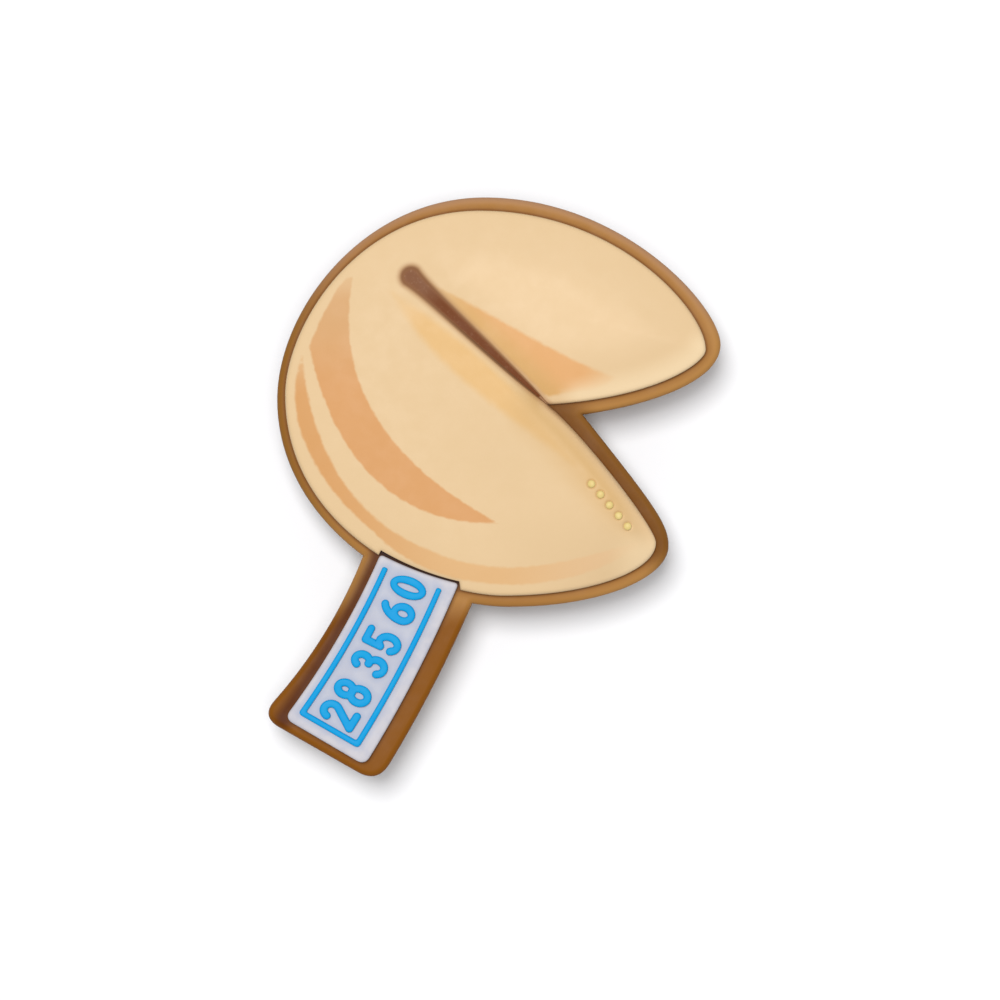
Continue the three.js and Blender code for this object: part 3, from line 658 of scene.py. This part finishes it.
def make_cookie(material):
    points = COOKIE.points_at([*round_insets(COOKIE_EDGE_ROUND), *COOKIE_ROWS], COOKIE_PITCH)
    points = points[groove_share(points) > CREASE_ROWS_CLEAR]
    to_dot = np.min([np.linalg.norm(points - place, axis=1) for place in DOT_PLACES], axis=0)
    points = points[to_dot > DOT_RADIUS * DOT_ROWS_CLEAR]
    radii = [share * DOT_RADIUS for share in DOT_ROWS]
    rings = [ring(place, radius, radius, DOT_ROW_SIDES) for place in DOT_PLACES for radius in radii]
    flat, triangles = COOKIE.mesh(np.vstack([points, fold_points(), *rings]))
    along, across = fold_place(flat)
    on_far_half = across > 0
    attributes = {
        "crescent": signed_distance(flat, patch_outline(CRESCENT)),
        "rim_crescent": signed_distance(flat, patch_outline(RIM_CRESCENT)),
        "fold_shade": signed_distance(flat, patch_outline(FOLD_SHADE)),
        "flap_band": signed_distance(flat, patch_outline(FLAP_BAND)),
        "flap_edge": distance(flat, FLAP_MOUTH_EDGE) + np.where(on_far_half, FAR_OFF, 0),
        "far_edge": distance(flat, path_segments(FAR_MOUTH)) + np.where(on_far_half, 0, FAR_OFF),
        "groove": (groove_share(flat) - 1) * half_breadth(along),
        "fold_along": along,
        "fold_across": across,
        "rim": distance(flat, WHOLE_EDGE),
    }
    piece = slab("cookie_relief", flat, triangles, FACE + cookie_height(flat), FACE - SUNK, attributes)
    stands_for(piece, "cream_rubber", material, "cookie")


def make_crease(material):
    along = np.linspace(0, CREASE_LENGTH * CREASE_FILL_LENGTH, FILL_POINTS)
    sides = half_breadth(along) * CREASE_FILL_BREADTH
    left, right = beside_fold(along, sides), beside_fold(along, -sides)
    head = round_head(CREASE_HEAD_RADIUS * CREASE_FILL_BREADTH, FILL_HEAD_STEPS)
    area = Area([np.vstack([head, right, left[::-1]])])
    flat, triangles = area.mesh(area.points_at(round_insets(CREASE_FILL_ROUND)[1::2], CREASE_PITCH))
    fill = CREASE_FILL * rounded(distance(flat, area.rim), CREASE_FILL_ROUND)
    attributes = {"across": groove_share(flat), "fold_along": fold_place(flat)[0]}
    top = FACE + groove_floor(flat) + fill
    piece = slab("fold_crease", flat, triangles, top, FACE + CREASE_FLOOR, attributes)
    stands_for(piece, "dark_brown_rubber", material, "crease")


def make_dots(material):
    for i, place in enumerate(DOT_PLACES):
        area = Area([ring(place, DOT_RADIUS, DOT_RADIUS, DOT_SIDES)])
        flat, triangles = area.mesh(area.points_at(round_insets(DOT_ROUND), DOT_PITCH))
        foot = FACE + float(near_top(place[None])[0])
        dome = foot + DOT_STAND * rounded(distance(flat, area.rim), DOT_ROUND)
        piece = slab(f"flap_dot_{i + 1}", flat, triangles, dome, foot - DOT_SEAT_DEPTH)
        stands_for(piece, "yellow_rubber", material, f"dot_{i + 1}")


# ---- The backing and the stud ----

TAB = rounded_loop(
    [
        (TAB_OUTER_SIDE[0], TAB_CORNER, TAB_OUTER_SIDE[1]),
        (TAB_OUTER_SIDE[2], 0, None),
        (TAB_TUCK[1], 0, None),
        (TAB_TUCK[0], 0, None),
        (TAB_INNER_SIDE[2], 0, TAB_INNER_SIDE[1]),
        (TAB_INNER_SIDE[0], TAB_CORNER, None),
    ],
    EDGE_STEP,
)
SLIP_LOOP = rounded_loop(
    [
        (SLIP_OUTER_SIDE[0], SLIP_CORNER, SLIP_OUTER_SIDE[1]),
        (SLIP_OUTER_SIDE[2], SLIP_ROOT_CORNER, SLIP_ROOT_BEND),
        (SLIP_INNER_SIDE[2], SLIP_ROOT_CORNER, SLIP_INNER_SIDE[1]),
        (SLIP_INNER_SIDE[0], SLIP_CORNER, None),
    ],
    EDGE_STEP,
)


def make_backing(material):
    area = Area([np.vstack(stretches(BACKING_OUTLINE))], [TAB])
    insets = sorted({*round_insets(FACE_EDGE), *round_insets(BACK_EDGE)})
    points = area.points_at(insets, BACKING_PITCH)
    # The paint changes close to the pieces on the face.
    loops = (COOKIE_LOOP, SLIP_LOOP)
    rows = np.vstack([loop - out * normals(loop) for loop in loops for out in BACKING_ROWS])
    rows = rows[area.holds(rows)]
    rows = rows[distance(rows, area.rim) > FACE_EDGE + BACKING_ROWS_APART]
    flat, triangles = area.mesh(np.vstack([points, rows]))
    edge = distance(flat, area.rim)
    attributes = {
        "cookie_foot": signed_distance(flat, COOKIE_LOOP),
        "slip_foot": signed_distance(flat, SLIP_LOOP),
        "slip_side": distance(flat, path_segments(bezier(SLIP_INNER_SIDE))),
        "flap_foot": distance(flat, FLAP_MOUTH_EDGE),
        "slot_wall": distance(flat, SLOT_WALL),
        "rim": edge,
    }
    top = FACE - FACE_EDGE * (1 - rounded(edge, FACE_EDGE))
    bottom = BACK + BACK_EDGE * (1 - rounded(edge, BACK_EDGE))
    piece = slab("backing_moulding", flat, triangles, top, bottom, attributes)
    stands_for(piece, "brown_rubber", material, "backing")


def lathe(name, profile):
    """A solid turned about the Z axis. The profile runs from the axis to the axis, lowest first."""
    turns = np.linspace(0, 2 * math.pi, LATHE_SIDES, endpoint=False)
    rings = [(r * math.cos(t), r * math.sin(t), z) for r, z in profile[1:-1] for t in turns]
    vertices = [(0, 0, profile[0][1]), *rings, (0, 0, profile[-1][1])]

    def at(row, side):
        return 1 + row * LATHE_SIDES + side % LATHE_SIDES

    last = len(profile) - 3
    faces = [(0, at(0, i + 1), at(0, i)) for i in range(LATHE_SIDES)]
    for k in range(last):
        faces += [(at(k, i), at(k, i + 1), at(k + 1, i + 1), at(k + 1, i)) for i in range(LATHE_SIDES)]
    faces += [(len(vertices) - 1, at(last, i), at(last, i + 1)) for i in range(LATHE_SIDES)]
    return build(name, np.array(vertices), faces)


def make_stud(material):
    edge = (CAP_RADIUS, CAP_HEIGHT / 2)
    top_start = (CAP_RADIUS - CAP_TOP_ROUND, CAP_HEIGHT)
    foot_bend = bezier([(FOOT_RADIUS, 0), (CAP_RADIUS, 0), edge], BEND_POINTS)
    top_bend = bezier([edge, (CAP_RADIUS, CAP_HEIGHT), top_start], BEND_POINTS)
    profile = [*GATE_MARK, *FOOT_RING, *foot_bend, *top_bend[1:], (0, CAP_HEIGHT)]
    stands_for(lathe("stud_cap_turned", profile), "brown_rubber", material, "stud_cap")
    fillet_out = (STEM_RADIUS + STEM_FILLET, CAP_HEIGHT)
    fillet_up = (STEM_RADIUS, CAP_HEIGHT + STEM_FILLET)
    foot = bezier([fillet_out, (STEM_RADIUS, CAP_HEIGHT), fillet_up], FILLET_POINTS)
    flare_low = (STEM_RADIUS, BACK - STEM_FLARE)
    flare_out = (STEM_RADIUS + STEM_FLARE, BACK)
    flare = bezier([flare_low, (STEM_RADIUS, BACK), flare_out], BEND_POINTS)
    stem = lathe("stud_stem_turned", [(0, CAP_HEIGHT), *foot, *flare, (0, BACK)])
    stands_for(stem, "brown_rubber", material, "stud_stem")


# ---- The slip and its raised print ----

# The tinted panel in the border, on the straight slip.
PANEL = rounded_loop(
    [
        ((BORDER_END, BORDER_OUTER), PANEL_CORNER, None),
        ((BORDER_OPEN + PANEL_PAST_BORDER, BORDER_OUTER), PANEL_CORNER, None),
        ((BORDER_OPEN + PANEL_PAST_BORDER, BORDER_INNER), PANEL_CORNER, None),
        ((BORDER_END, BORDER_INNER), PANEL_CORNER, None),
    ],
    PANEL_STEP,
)


def bent(flat):
    """Moves points drawn along a straight slip to their place along the bent one."""
    along, across = flat[:, :1] / SLIP_ALONG, flat[:, 1:] / SLIP_ACROSS

    def side(controls):
        a, b, c = np.array(controls)
        return a * (1 - along) ** 2 + 2 * b * along * (1 - along) + c * along**2

    return side(SLIP_OUTER_SIDE) * (1 - across) + side(SLIP_INNER_SIDE) * across


def border_shape():
    """A frame that is open at the slip's root."""
    half = BORDER_STROKE / 2
    corners = [
        ((BORDER_END - half, BORDER_OUTER - half), BORDER_OUTSIDE_CORNER, None),
        ((BORDER_OPEN, BORDER_OUTER - half), BORDER_TIP, None),
        ((BORDER_OPEN, BORDER_OUTER + half), BORDER_TIP, None),
        ((BORDER_END + half, BORDER_OUTER + half), BORDER_INSIDE_CORNER, None),
        ((BORDER_END + half, BORDER_INNER - half), BORDER_INSIDE_CORNER, None),
        ((BORDER_OPEN, BORDER_INNER - half), BORDER_TIP, None),
        ((BORDER_OPEN, BORDER_INNER + half), BORDER_TIP, None),
        ((BORDER_END - half, BORDER_INNER + half), BORDER_OUTSIDE_CORNER, None),
    ]
    return [[rounded_loop(corners, PRINT_STEP)]]


def digit_lines(digit):
    """A digit's middle lines, from the lower left of their box: its rings and its open strokes."""
    width, height = DIGIT_WIDTH - DIGIT_STROKE, DIGIT_HEIGHT - DIGIT_STROKE
    middle = width / 2
    low, high = height * LOWER_RADIUS, height * UPPER_RADIUS
    lower, upper = (middle, low), (middle, height - high)
    if digit == "0":
        return [((middle, height / 2), middle, height / 2)], []
    if digit == "2":
        return [], [np.vstack([arc(upper, middle, high, 170, -30), [0, 0]]), [(0, 0), (width, 0)]]
    if digit == "3":
        return [], [
            arc(upper, middle * UPPER_BREADTH, high, 155, -90),
            arc(lower, middle, low, 90, -155),
        ]
    if digit == "5":
        bowl = arc(lower, middle, low * FIVE_RING, 140, -150)
        top_left = (width * FIVE_UPRIGHT, height)
        return [], [[(width, height), top_left], [top_left, bowl[0]], bowl]
    if digit == "6":
        radius = low * SIX_RING
        return [((middle, radius), middle, radius)], [arc((width, radius), width, height - radius, 180, 108)]
    # An 8.
    return [(upper, middle * UPPER_BREADTH, high), (lower, middle, low)], []


def digit_shapes(digit, left):
    """The strokes and rings of one digit, at its place on the straight slip."""
    rings, strokes = digit_lines(digit)
    half = DIGIT_STROKE / 2
    shapes = []
    for centre, x, y in rings:
        outline = ring(centre, x + half, y + half, DIGIT_RING_SIDES)
        shapes.append([outline, ring(centre, x - half, y - half, DIGIT_HOLE_SIDES)])
    shapes += [[stroke_outline(evenly(np.array(run, float), PRINT_STEP), DIGIT_STROKE)] for run in strokes]
    place = np.array([left + half, DIGITS_MIDDLE[1] + half - DIGIT_HEIGHT / 2])
    return [[loop + place for loop in shape] for shape in shapes]


def printed_shapes():
    """Every raised mark on the slip: its CAD node and its shapes."""
    pair_width = 2 * DIGIT_WIDTH + DIGIT_SPACE
    length = len(DIGIT_PAIRS) * pair_width + (len(DIGIT_PAIRS) - 1) * PAIR_SPACE
    marks = {"slip_border": border_shape()}
    for k, pair in enumerate(DIGIT_PAIRS):
        for i, digit in enumerate(pair):
            left = DIGITS_MIDDLE[0] - length / 2 + k * (pair_width + PAIR_SPACE)
            left += i * (DIGIT_WIDTH + DIGIT_SPACE)
            marks[f"digit_{2 * k + i + 1}"] = digit_shapes(digit, left)
    return marks


def make_slip(material, ink):
    slip = Area([SLIP_LOOP])
    flat, triangles = slip.mesh(slip.points_at([*round_insets(SLIP_EDGE), *SLIP_ROWS], SLIP_PITCH))
    face = FACE + SLIP_HEIGHT
    to_mark = np.full(len(flat), FAR_OFF)
    for node, shapes in printed_shapes().items():
        area = Area(*shapes)
        straight, faces = area.mesh(area.points_at(round_insets(PRINT_EDGE)[1::2], PRINT_PITCH))
        rise = PRINT_HEIGHT - PRINT_EDGE * (1 - rounded(distance(straight, area.rim), PRINT_EDGE))
        piece = slab(f"{node}_print", bent(straight), faces, face + rise, face - MARK_SUNK)
        stands_for(piece, "blue_rubber", ink, node)
        to_mark = np.minimum(to_mark, distance(flat, [bent(ends) for ends in area.rim]))
    attributes = {"mark": to_mark, "panel": signed_distance(flat, bent(PANEL))}
    top = face - SLIP_EDGE * (1 - rounded(distance(flat, slip.rim), SLIP_EDGE))
    piece = slab("paper_slip", flat, triangles, top, FACE - SUNK, attributes)
    stands_for(piece, "lavender_rubber", material, "slip")


# ---- Materials ----

# A level surface shows its paint this many times over, and so much of the plain light on top.
LIGHT_ON_TOP = 1.34
GLOSS_ON_TOP = 0.022
LEAST_PAINT = 0.004


def linear(red, green, blue):
    """The paint that shows as this colour, from 0 to 255, on a level surface in the stage's light."""
    parts = [c / 255 for c in (red, green, blue)]
    shown = [c / 12.92 if c <= 0.04045 else ((c + 0.055) / 1.055) ** 2.4 for c in parts]
    return tuple(max(c - GLOSS_ON_TOP, LEAST_PAINT) / LIGHT_ON_TOP for c in shown) + (1.0,)


CREAM = linear(239, 207, 162)
PALE_CREAM = linear(247, 215, 171)
BAND_YELLOW = linear(240, 197, 137)
SHADE_YELLOW = linear(227, 181, 119)
SHADE_ORANGE = linear(239, 183, 125)
RIM_TAN = linear(226, 168, 109)
RIM_MIDDLE_TAN = linear(236, 190, 136)
RIM_PALE_TAN = linear(241, 202, 156)
CRESCENT_TAN = linear(228, 170, 114)
CRESCENT_TOP_TAN = linear(226, 178, 127)
# Painted shade and painted highlights along the flap's free edge, the far half's lower edge and the flap's
# tip.
FLAP_SHADE = linear(227, 187, 130)
FLAP_EDGE_HIGHLIGHT = linear(250, 214, 166)
FAR_EDGE_HIGHLIGHT = linear(253, 226, 184)
TIP_PAINTED_LIGHT = linear(255, 226, 182)
SPRAY_PALE = linear(196, 152, 112)
SPRAY_DARK = linear(160, 116, 86)

BROWN = linear(192, 142, 86)
# The rim's paler brown is a painted highlight.
RIM_HIGHLIGHT_BROWN = linear(190, 147, 116)
LEFT_BROWN = linear(153, 109, 61)
TAB_BROWN = linear(148, 96, 49)
# Painted shade and painted shadow where the cookie, the slip and the flap meet the backing, and in the
# slot's gap.
COOKIE_FOOT_SHADOW_LINE = linear(80, 48, 20)
COOKIE_FOOT_SHADE = linear(150, 101, 54)
SLIP_SIDE_SHADE = linear(98, 60, 20)
SLIP_FOOT_SHADE = linear(112, 72, 40)
FLAP_SHADOW_BROWN = linear(122, 80, 43)
SLOT_SHADE_BROWN = linear(58, 32, 12)
STUD_BROWN = linear(172, 120, 68)

CREASE_HEAD_BROWN = linear(142, 98, 72)
CREASE_BROWN = linear(127, 78, 52)
CREASE_SIDE_BROWN = linear(158, 112, 82)
CREASE_STREAK = linear(178, 140, 112)

LAVENDER = linear(214, 211, 217)
PANEL_LAVENDER = linear(203, 205, 217)
# Painted shade round the raised print.
PRINT_SHADE_LAVENDER = linear(182, 190, 210)
CLOUD_LAVENDER = linear(193, 195, 211)
BLUE = linear(6, 168, 233)
PALE_BLUE = linear(16, 176, 230)
YELLOW = linear(243, 219, 148)
DEEP_YELLOW = linear(232, 202, 124)

# What mould flow multiplies a colour by where it is strongest.
BROAD_FLOW = (0.9, 0.88, 0.86, 1)
FINE_FLOW = (0.86, 0.84, 0.82, 1)


class Paint:
    """A node material of soft moulded PVC.

    A ramp's start and end are what it gives below the low value and above the high one. Distances are in
    millimetres.
    """

    def __init__(self, name, colour):
        self.material = bpy.data.materials.new(name)
        self.material.use_nodes = True
        self.tree = self.material.node_tree
        self.shader = self.tree.nodes["Principled BSDF"]
        self.place = self.node("TexCoord").outputs["Object"]
        self.colour = self.node("RGB").outputs[0]
        self.colour.default_value = colour

    def node(self, kind, inputs=None, **settings):
        made = self.tree.nodes.new("ShaderNode" + kind)
        for key, value in settings.items():
            setattr(made, key, value)
        for key, value in (inputs or {}).items():
            if isinstance(value, bpy.types.NodeSocket):
                self.tree.links.new(value, made.inputs[key])
            else:
                made.inputs[key].default_value = value
        return made

    def attribute(self, label):
        return self.node("Attribute", attribute_name=label).outputs["Fac"]

    def noise(self, size, detail):
        """Noise from 0 to 1, with features about size millimetres across."""
        inputs = {"Vector": self.place, "Scale": 1 / (size * MM), "Detail": detail}
        return self.node("TexNoise", inputs).outputs[0]

    def ramp(self, value, low, high, start=0.0, end=1.0):
        inputs = {"Value": value, "From Min": low, "From Max": high, "To Min": start, "To Max": end}
        return self.node("MapRange", inputs, interpolation_type="SMOOTHSTEP").outputs[0]

    def along(self, label, low, high, start=0.0, end=1.0):
        """A ramp of one of the piece's attributes."""
        return self.ramp(self.attribute(label), low, high, start, end)

    def near(self, label, full, gone, strength=1.0):
        """The strength up to one distance from a line, falling to nothing at another."""
        return self.along(label, full, gone, strength, 0.0)

    def maths(self, operation, a, b):
        return self.node("Math", {0: a, 1: b}, operation=operation).outputs[0]

    def product(self, a, b):
        return self.maths("MULTIPLY", a, b)

    def coordinate(self, axis):
        """The place along an axis, in millimetres."""
        return self.maths("DIVIDE", self.node("SeparateXYZ", {0: self.place}).outputs[axis], MM)

    def mixed(self, a, b, share, blend="MIX"):
        made = self.node("Mix", {0: share, 6: a, 7: b}, data_type="RGBA", blend_type=blend)
        return made.outputs[2]

    def coat(self, colour, share, blend="MIX"):
        self.colour = self.mixed(self.colour, colour, share, blend)

    def bump(self, height, strength, depth, below=None):
        """Unevenness up to a depth in millimetres, on top of the unevenness below it."""
        inputs = {"Height": height, "Strength": strength, "Distance": depth * MM}
        if below:
            inputs["Normal"] = below
        return self.node("Bump", inputs).outputs[0]

    def finish(self, roughness, mottle, shine=0.15):
        # Mould flow: broad and fine unevenness of the colour.
        broad = self.ramp(self.noise(3.5, 3), 0.3, 0.7)
        fine = self.ramp(self.noise(0.35, 4), 0.3, 0.7)
        self.coat(BROAD_FLOW, self.product(broad, mottle * 2), "MULTIPLY")
        self.coat(FINE_FLOW, self.product(fine, mottle), "MULTIPLY")
        self.tree.links.new(self.colour, self.shader.inputs["Base Color"])
        dull = self.ramp(self.noise(1.2, 4), 0.25, 0.75, roughness - 0.06, roughness + 0.07)
        self.tree.links.new(dull, self.shader.inputs["Roughness"])
        # The skin: fine grain, a soft waviness and a few tiny pits.
        grain = self.bump(self.noise(0.11, 3), 0.16, 0.03)
        wave = self.bump(self.noise(1.6, 2), 0.25, 0.05, grain)
        cells = self.node("TexVoronoi", {"Vector": self.place, "Scale": 1 / (0.9 * MM)}).outputs["Distance"]
        pits = self.bump(self.ramp(cells, 0.03, 0.07), 0.2, 0.02, wave)
        self.tree.links.new(pits, self.shader.inputs["Normal"])
        self.shader.inputs["Specular IOR Level"].default_value = shine
        return self.material


def cream_material():
    paint = Paint("cream_pvc", CREAM)
    fuzz = paint.ramp(paint.noise(0.5, 3), 0.2, 0.8, -0.045, 0.045)
    x, y = paint.coordinate(0), paint.coordinate(1)

    def within(label, soft):
        """Inside a printed patch, whose edge fades over this far on either side."""
        return paint.ramp(paint.maths("ADD", paint.attribute(label), fuzz), -soft, soft, 1.0, 0.0)

    # The far half is lighter in its middle.
    off_rim = paint.along("rim", 1.8, 4.8, 0.0, 0.85)
    paint.coat(PALE_CREAM, paint.product(off_rim, paint.along("fold_across", 1.0, 3.5)))
    # The near half's band of yellow beside the fold.
    paint.coat(BAND_YELLOW, paint.product(within("flap_band", 0.35), paint.along("fold_along", 0.5, 3, 0.5)))
    # The shadow in the far half, yellower along the fold and orange in its middle. It fades towards the
    # crease's head, the tip and the far half's lower edge.
    off_corner = paint.ramp(x, 5.6, 7.4)
    shade = paint.product(within("fold_shade", 0.16), paint.ramp(x, 7.0, 9.6, 1.0, 0.4))
    shade_colour = paint.mixed(SHADE_YELLOW, SHADE_ORANGE, paint.along("fold_across", 0.5, 2.2))
    near_corner = paint.maths("SUBTRACT", 1.0, off_corner)
    off_edge = paint.maths("MAXIMUM", paint.along("far_edge", 0.3, 1.1), near_corner)
    off_head = paint.along("fold_along", 1.0, 4.5, 0.45)
    paint.coat(shade_colour, paint.product(shade, paint.product(off_head, off_edge)))
    # The crescents along the near half's outer side.
    rim_colour = paint.mixed(RIM_TAN, RIM_MIDDLE_TAN, paint.ramp(x, -10, 0))
    rim_colour = paint.mixed(rim_colour, RIM_PALE_TAN, paint.ramp(x, 1, 9))
    rim_share = paint.product(within("rim_crescent", 0.12), paint.ramp(x, 7.5, 11.6, 0.95, 0.35))
    paint.coat(rim_colour, paint.product(rim_share, paint.ramp(y, 3, 5.6, 1.0, 0.6)))
    crescent_colour = paint.mixed(CRESCENT_TAN, CRESCENT_TOP_TAN, paint.ramp(y, 3, 9))
    paint.coat(crescent_colour, paint.product(within("crescent", 0.1), paint.ramp(y, 9, 10.8, 1.0, 0.5)))
    # Painted shade darkens the flap towards its free edge, and a painted highlight lightens that edge
    # itself.
    # A painted highlight brightens the far half's lower edge, and painted light brightens the flap's tip.
    off_tip = paint.ramp(y, -7.2, -3.6, 0.15, 1.0)
    paint.coat(FLAP_SHADE, paint.product(paint.near("flap_edge", 0.6, 3.4, 0.9), off_tip))
    paint.coat(FLAP_EDGE_HIGHLIGHT, paint.near("flap_edge", 0.1, 1.0, 0.75))
    paint.coat(FAR_EDGE_HIGHLIGHT, paint.product(paint.near("far_edge", 0.3, 1.9, 0.8), off_corner))
    tip = paint.product(paint.ramp(y, -7.6, -5.6, 1.0, 0.0), paint.ramp(x, 8.8, 11.4))
    paint.coat(TIP_PAINTED_LIGHT, paint.product(tip, 0.8))
    # The crease's colour is sprayed a little past its edges.
    paint.coat(SPRAY_PALE, paint.near("groove", -0.05, 0.38, 0.75))
    paint.coat(SPRAY_DARK, paint.near("groove", -0.16, 0.08))
    return paint.finish(roughness=0.52, mottle=0.035)


def brown_material():
    paint = Paint("brown_pvc", BROWN)
    x, y = paint.coordinate(0), paint.coordinate(1)
    # A painted highlight makes the top of the outer rim paler, and the left side and the tab are darker.
    paint.coat(RIM_HIGHLIGHT_BROWN, paint.product(paint.near("rim", 0.1, 0.6, 0.75), paint.ramp(y, 6, 10)))
    paint.coat(LEFT_BROWN, paint.ramp(x, -12.6, -7.5, 0.9, 0.0))
    paint.coat(TAB_BROWN, paint.ramp(y, -12.5, -10, 1.0, 0.0))
    # Painted shade darkens the corners where the cookie and the slip stand on the backing, the tab beside
    # the slip's inner side, the backing beside the flap's mouth edge where the flap's shadow falls, and the
    # gap at the slip's slot.
    paint.coat(COOKIE_FOOT_SHADOW_LINE, paint.near("cookie_foot", 0.04, 0.24, 0.65))
    paint.coat(COOKIE_FOOT_SHADE, paint.near("cookie_foot", 0.1, 0.7, 0.5))
    paint.coat(SLIP_SIDE_SHADE, paint.near("slip_side", 0.15, 1.1, 0.95))
    paint.coat(SLIP_FOOT_SHADE, paint.near("slip_foot", 0.0, 0.35, 0.55))
    paint.coat(FLAP_SHADOW_BROWN, paint.near("flap_foot", 0.3, 2.4, 0.85))
    paint.coat(SLOT_SHADE_BROWN, paint.near("slot_wall", 0.1, 0.5, 0.85))
    return paint.finish(roughness=0.46, mottle=0.05, shine=0.05)


def stud_material():
    return Paint("stud_pvc", STUD_BROWN).finish(roughness=0.48, mottle=0.07, shine=0.05)


def crease_material():
    paint = Paint("crease_pvc", CREASE_HEAD_BROWN)
    paint.coat(CREASE_BROWN, paint.along("fold_along", 0.8, 3.0))
    paint.coat(CREASE_SIDE_BROWN, paint.along("across", 0.3, 0.9, 0.0, 0.9))
    # Light streaks, mostly in the head.
    streaks = paint.ramp(paint.noise(0.22, 3), 0.52, 0.72)
    paint.coat(CREASE_STREAK, paint.product(streaks, paint.along("fold_along", -0.6, 2.0, 0.5, 0.12)))
    return paint.finish(roughness=0.6, mottle=0.08)


def slip_material():
    paint = Paint("lavender_pvc", LAVENDER)
    paint.coat(PANEL_LAVENDER, paint.near("panel", -0.25, 0.25))
    # Painted shade round the raised print.
    paint.coat(PRINT_SHADE_LAVENDER, paint.near("mark", 0.0, 0.45, 0.6))
    paint.coat(CLOUD_LAVENDER, paint.ramp(paint.noise(0.9, 3), 0.38, 0.68, 0.0, 0.5))
    return paint.finish(roughness=0.5, mottle=0.03)


def blue_material():
    paint = Paint("blue_pvc", BLUE)
    paint.coat(PALE_BLUE, paint.ramp(paint.noise(0.8, 3), 0.4, 0.75, 0.0, 0.5))
    return paint.finish(roughness=0.42, mottle=0.04, shine=0.05)


def yellow_material():
    paint = Paint("yellow_pvc", YELLOW)
    paint.coat(DEEP_YELLOW, paint.ramp(paint.noise(0.3, 2), 0.4, 0.7, 0.0, 0.5))
    return paint.finish(roughness=0.45, mottle=0.03)


# ---- The object ----

make_backing(brown_material())
make_stud(stud_material())
make_cookie(cream_material())
make_crease(crease_material())
make_dots(yellow_material())
make_slip(slip_material(), blue_material())

# ---- The stage ----

# The floor, in metres.
FLOOR_HALF = 1.5
FLOOR_CELLS = 6
FLOOR_PAINT = (0.795, 0.8, 0.815, 1)

# The camera looks straight down. It sees so many millimetres across at the height of the view plane, and
# stands off the middle of the part by the offset.
LENS = 280.0
SENSOR = 36.0
VIEW_WIDTH = 66.2
VIEW_OFFSET = (0.351, -0.8715)
VIEW_PLANE = FACE + 0.4
NEAREST_SEEN = 0.01
FARTHEST_SEEN = 10

# Two suns and a white sky. Angles are in degrees.
SKY = 0.31
WHITE = (1, 1, 1, 1)
KEY_STRENGTH = 2.0
KEY_ANGLE = 16
KEY_AZIMUTH = -26
KEY_HEIGHT = 78.5
TOP_STRENGTH = 1.27
TOP_ANGLE = 17
LAMP_DISTANCE = 0.5


def make_floor():
    steps = np.linspace(-FLOOR_HALF, FLOOR_HALF, FLOOR_CELLS + 1) / MM
    vertices = [(x, y, CAD_LOW.z / MM) for y in steps for x in steps]
    row = FLOOR_CELLS + 1
    faces = [
        (j * row + i, j * row + i + 1, (j + 1) * row + i + 1, (j + 1) * row + i)
        for j in range(FLOOR_CELLS)
        for i in range(FLOOR_CELLS)
    ]
    floor = build("floor", np.array(vertices), faces)
    material = bpy.data.materials.new("white_paper")
    material.use_nodes = True
    shader = material.node_tree.nodes["Principled BSDF"]
    shader.inputs["Base Color"].default_value = FLOOR_PAINT
    shader.inputs["Roughness"].default_value = 0.9
    shader.inputs["Specular IOR Level"].default_value = 0.1
    floor.data.materials.append(material)


def make_sun(name, strength, azimuth, height, angle):
    """A wide soft light from a heading in degrees clockwise from +Y, and a height over the horizon."""
    light = bpy.data.lights.new(name, "SUN")
    light.energy = strength
    light.angle = math.radians(angle)
    lamp = bpy.data.objects.new(name, light)
    turn, rise = math.radians(azimuth), math.radians(height)
    towards = Vector((math.sin(turn) * math.cos(rise), math.cos(turn) * math.cos(rise), math.sin(rise)))
    lamp.rotation_mode = "QUATERNION"
    lamp.rotation_quaternion = towards.to_track_quat("Z", "Y")
    lamp.location = towards * LAMP_DISTANCE
    bpy.context.scene.collection.objects.link(lamp)


def make_camera():
    data = bpy.data.cameras.new("camera")
    data.lens = LENS
    data.sensor_width = SENSOR
    data.clip_start = NEAREST_SEEN
    data.clip_end = FARTHEST_SEEN
    camera = bpy.data.objects.new("camera", data)
    middle = (CAD_LOW + CAD_HIGH) / 2
    camera.location = (
        middle.x + VIEW_OFFSET[0] * MM,
        middle.y + VIEW_OFFSET[1] * MM,
        (VIEW_PLANE + VIEW_WIDTH * LENS / SENSOR) * MM,
    )
    bpy.context.scene.collection.objects.link(camera)
    bpy.context.scene.camera = camera


def make_sky():
    world = bpy.data.worlds.new("studio")
    world.use_nodes = True
    background = world.node_tree.nodes["Background"]
    background.inputs["Color"].default_value = WHITE
    background.inputs["Strength"].default_value = SKY
    bpy.context.scene.world = world


make_floor()
make_sun("key", KEY_STRENGTH, KEY_AZIMUTH, KEY_HEIGHT, KEY_ANGLE)
make_sun("overhead", TOP_STRENGTH, 0, 90, TOP_ANGLE)
make_camera()
make_sky()
bpy.context.scene.view_settings.view_transform = "Standard"
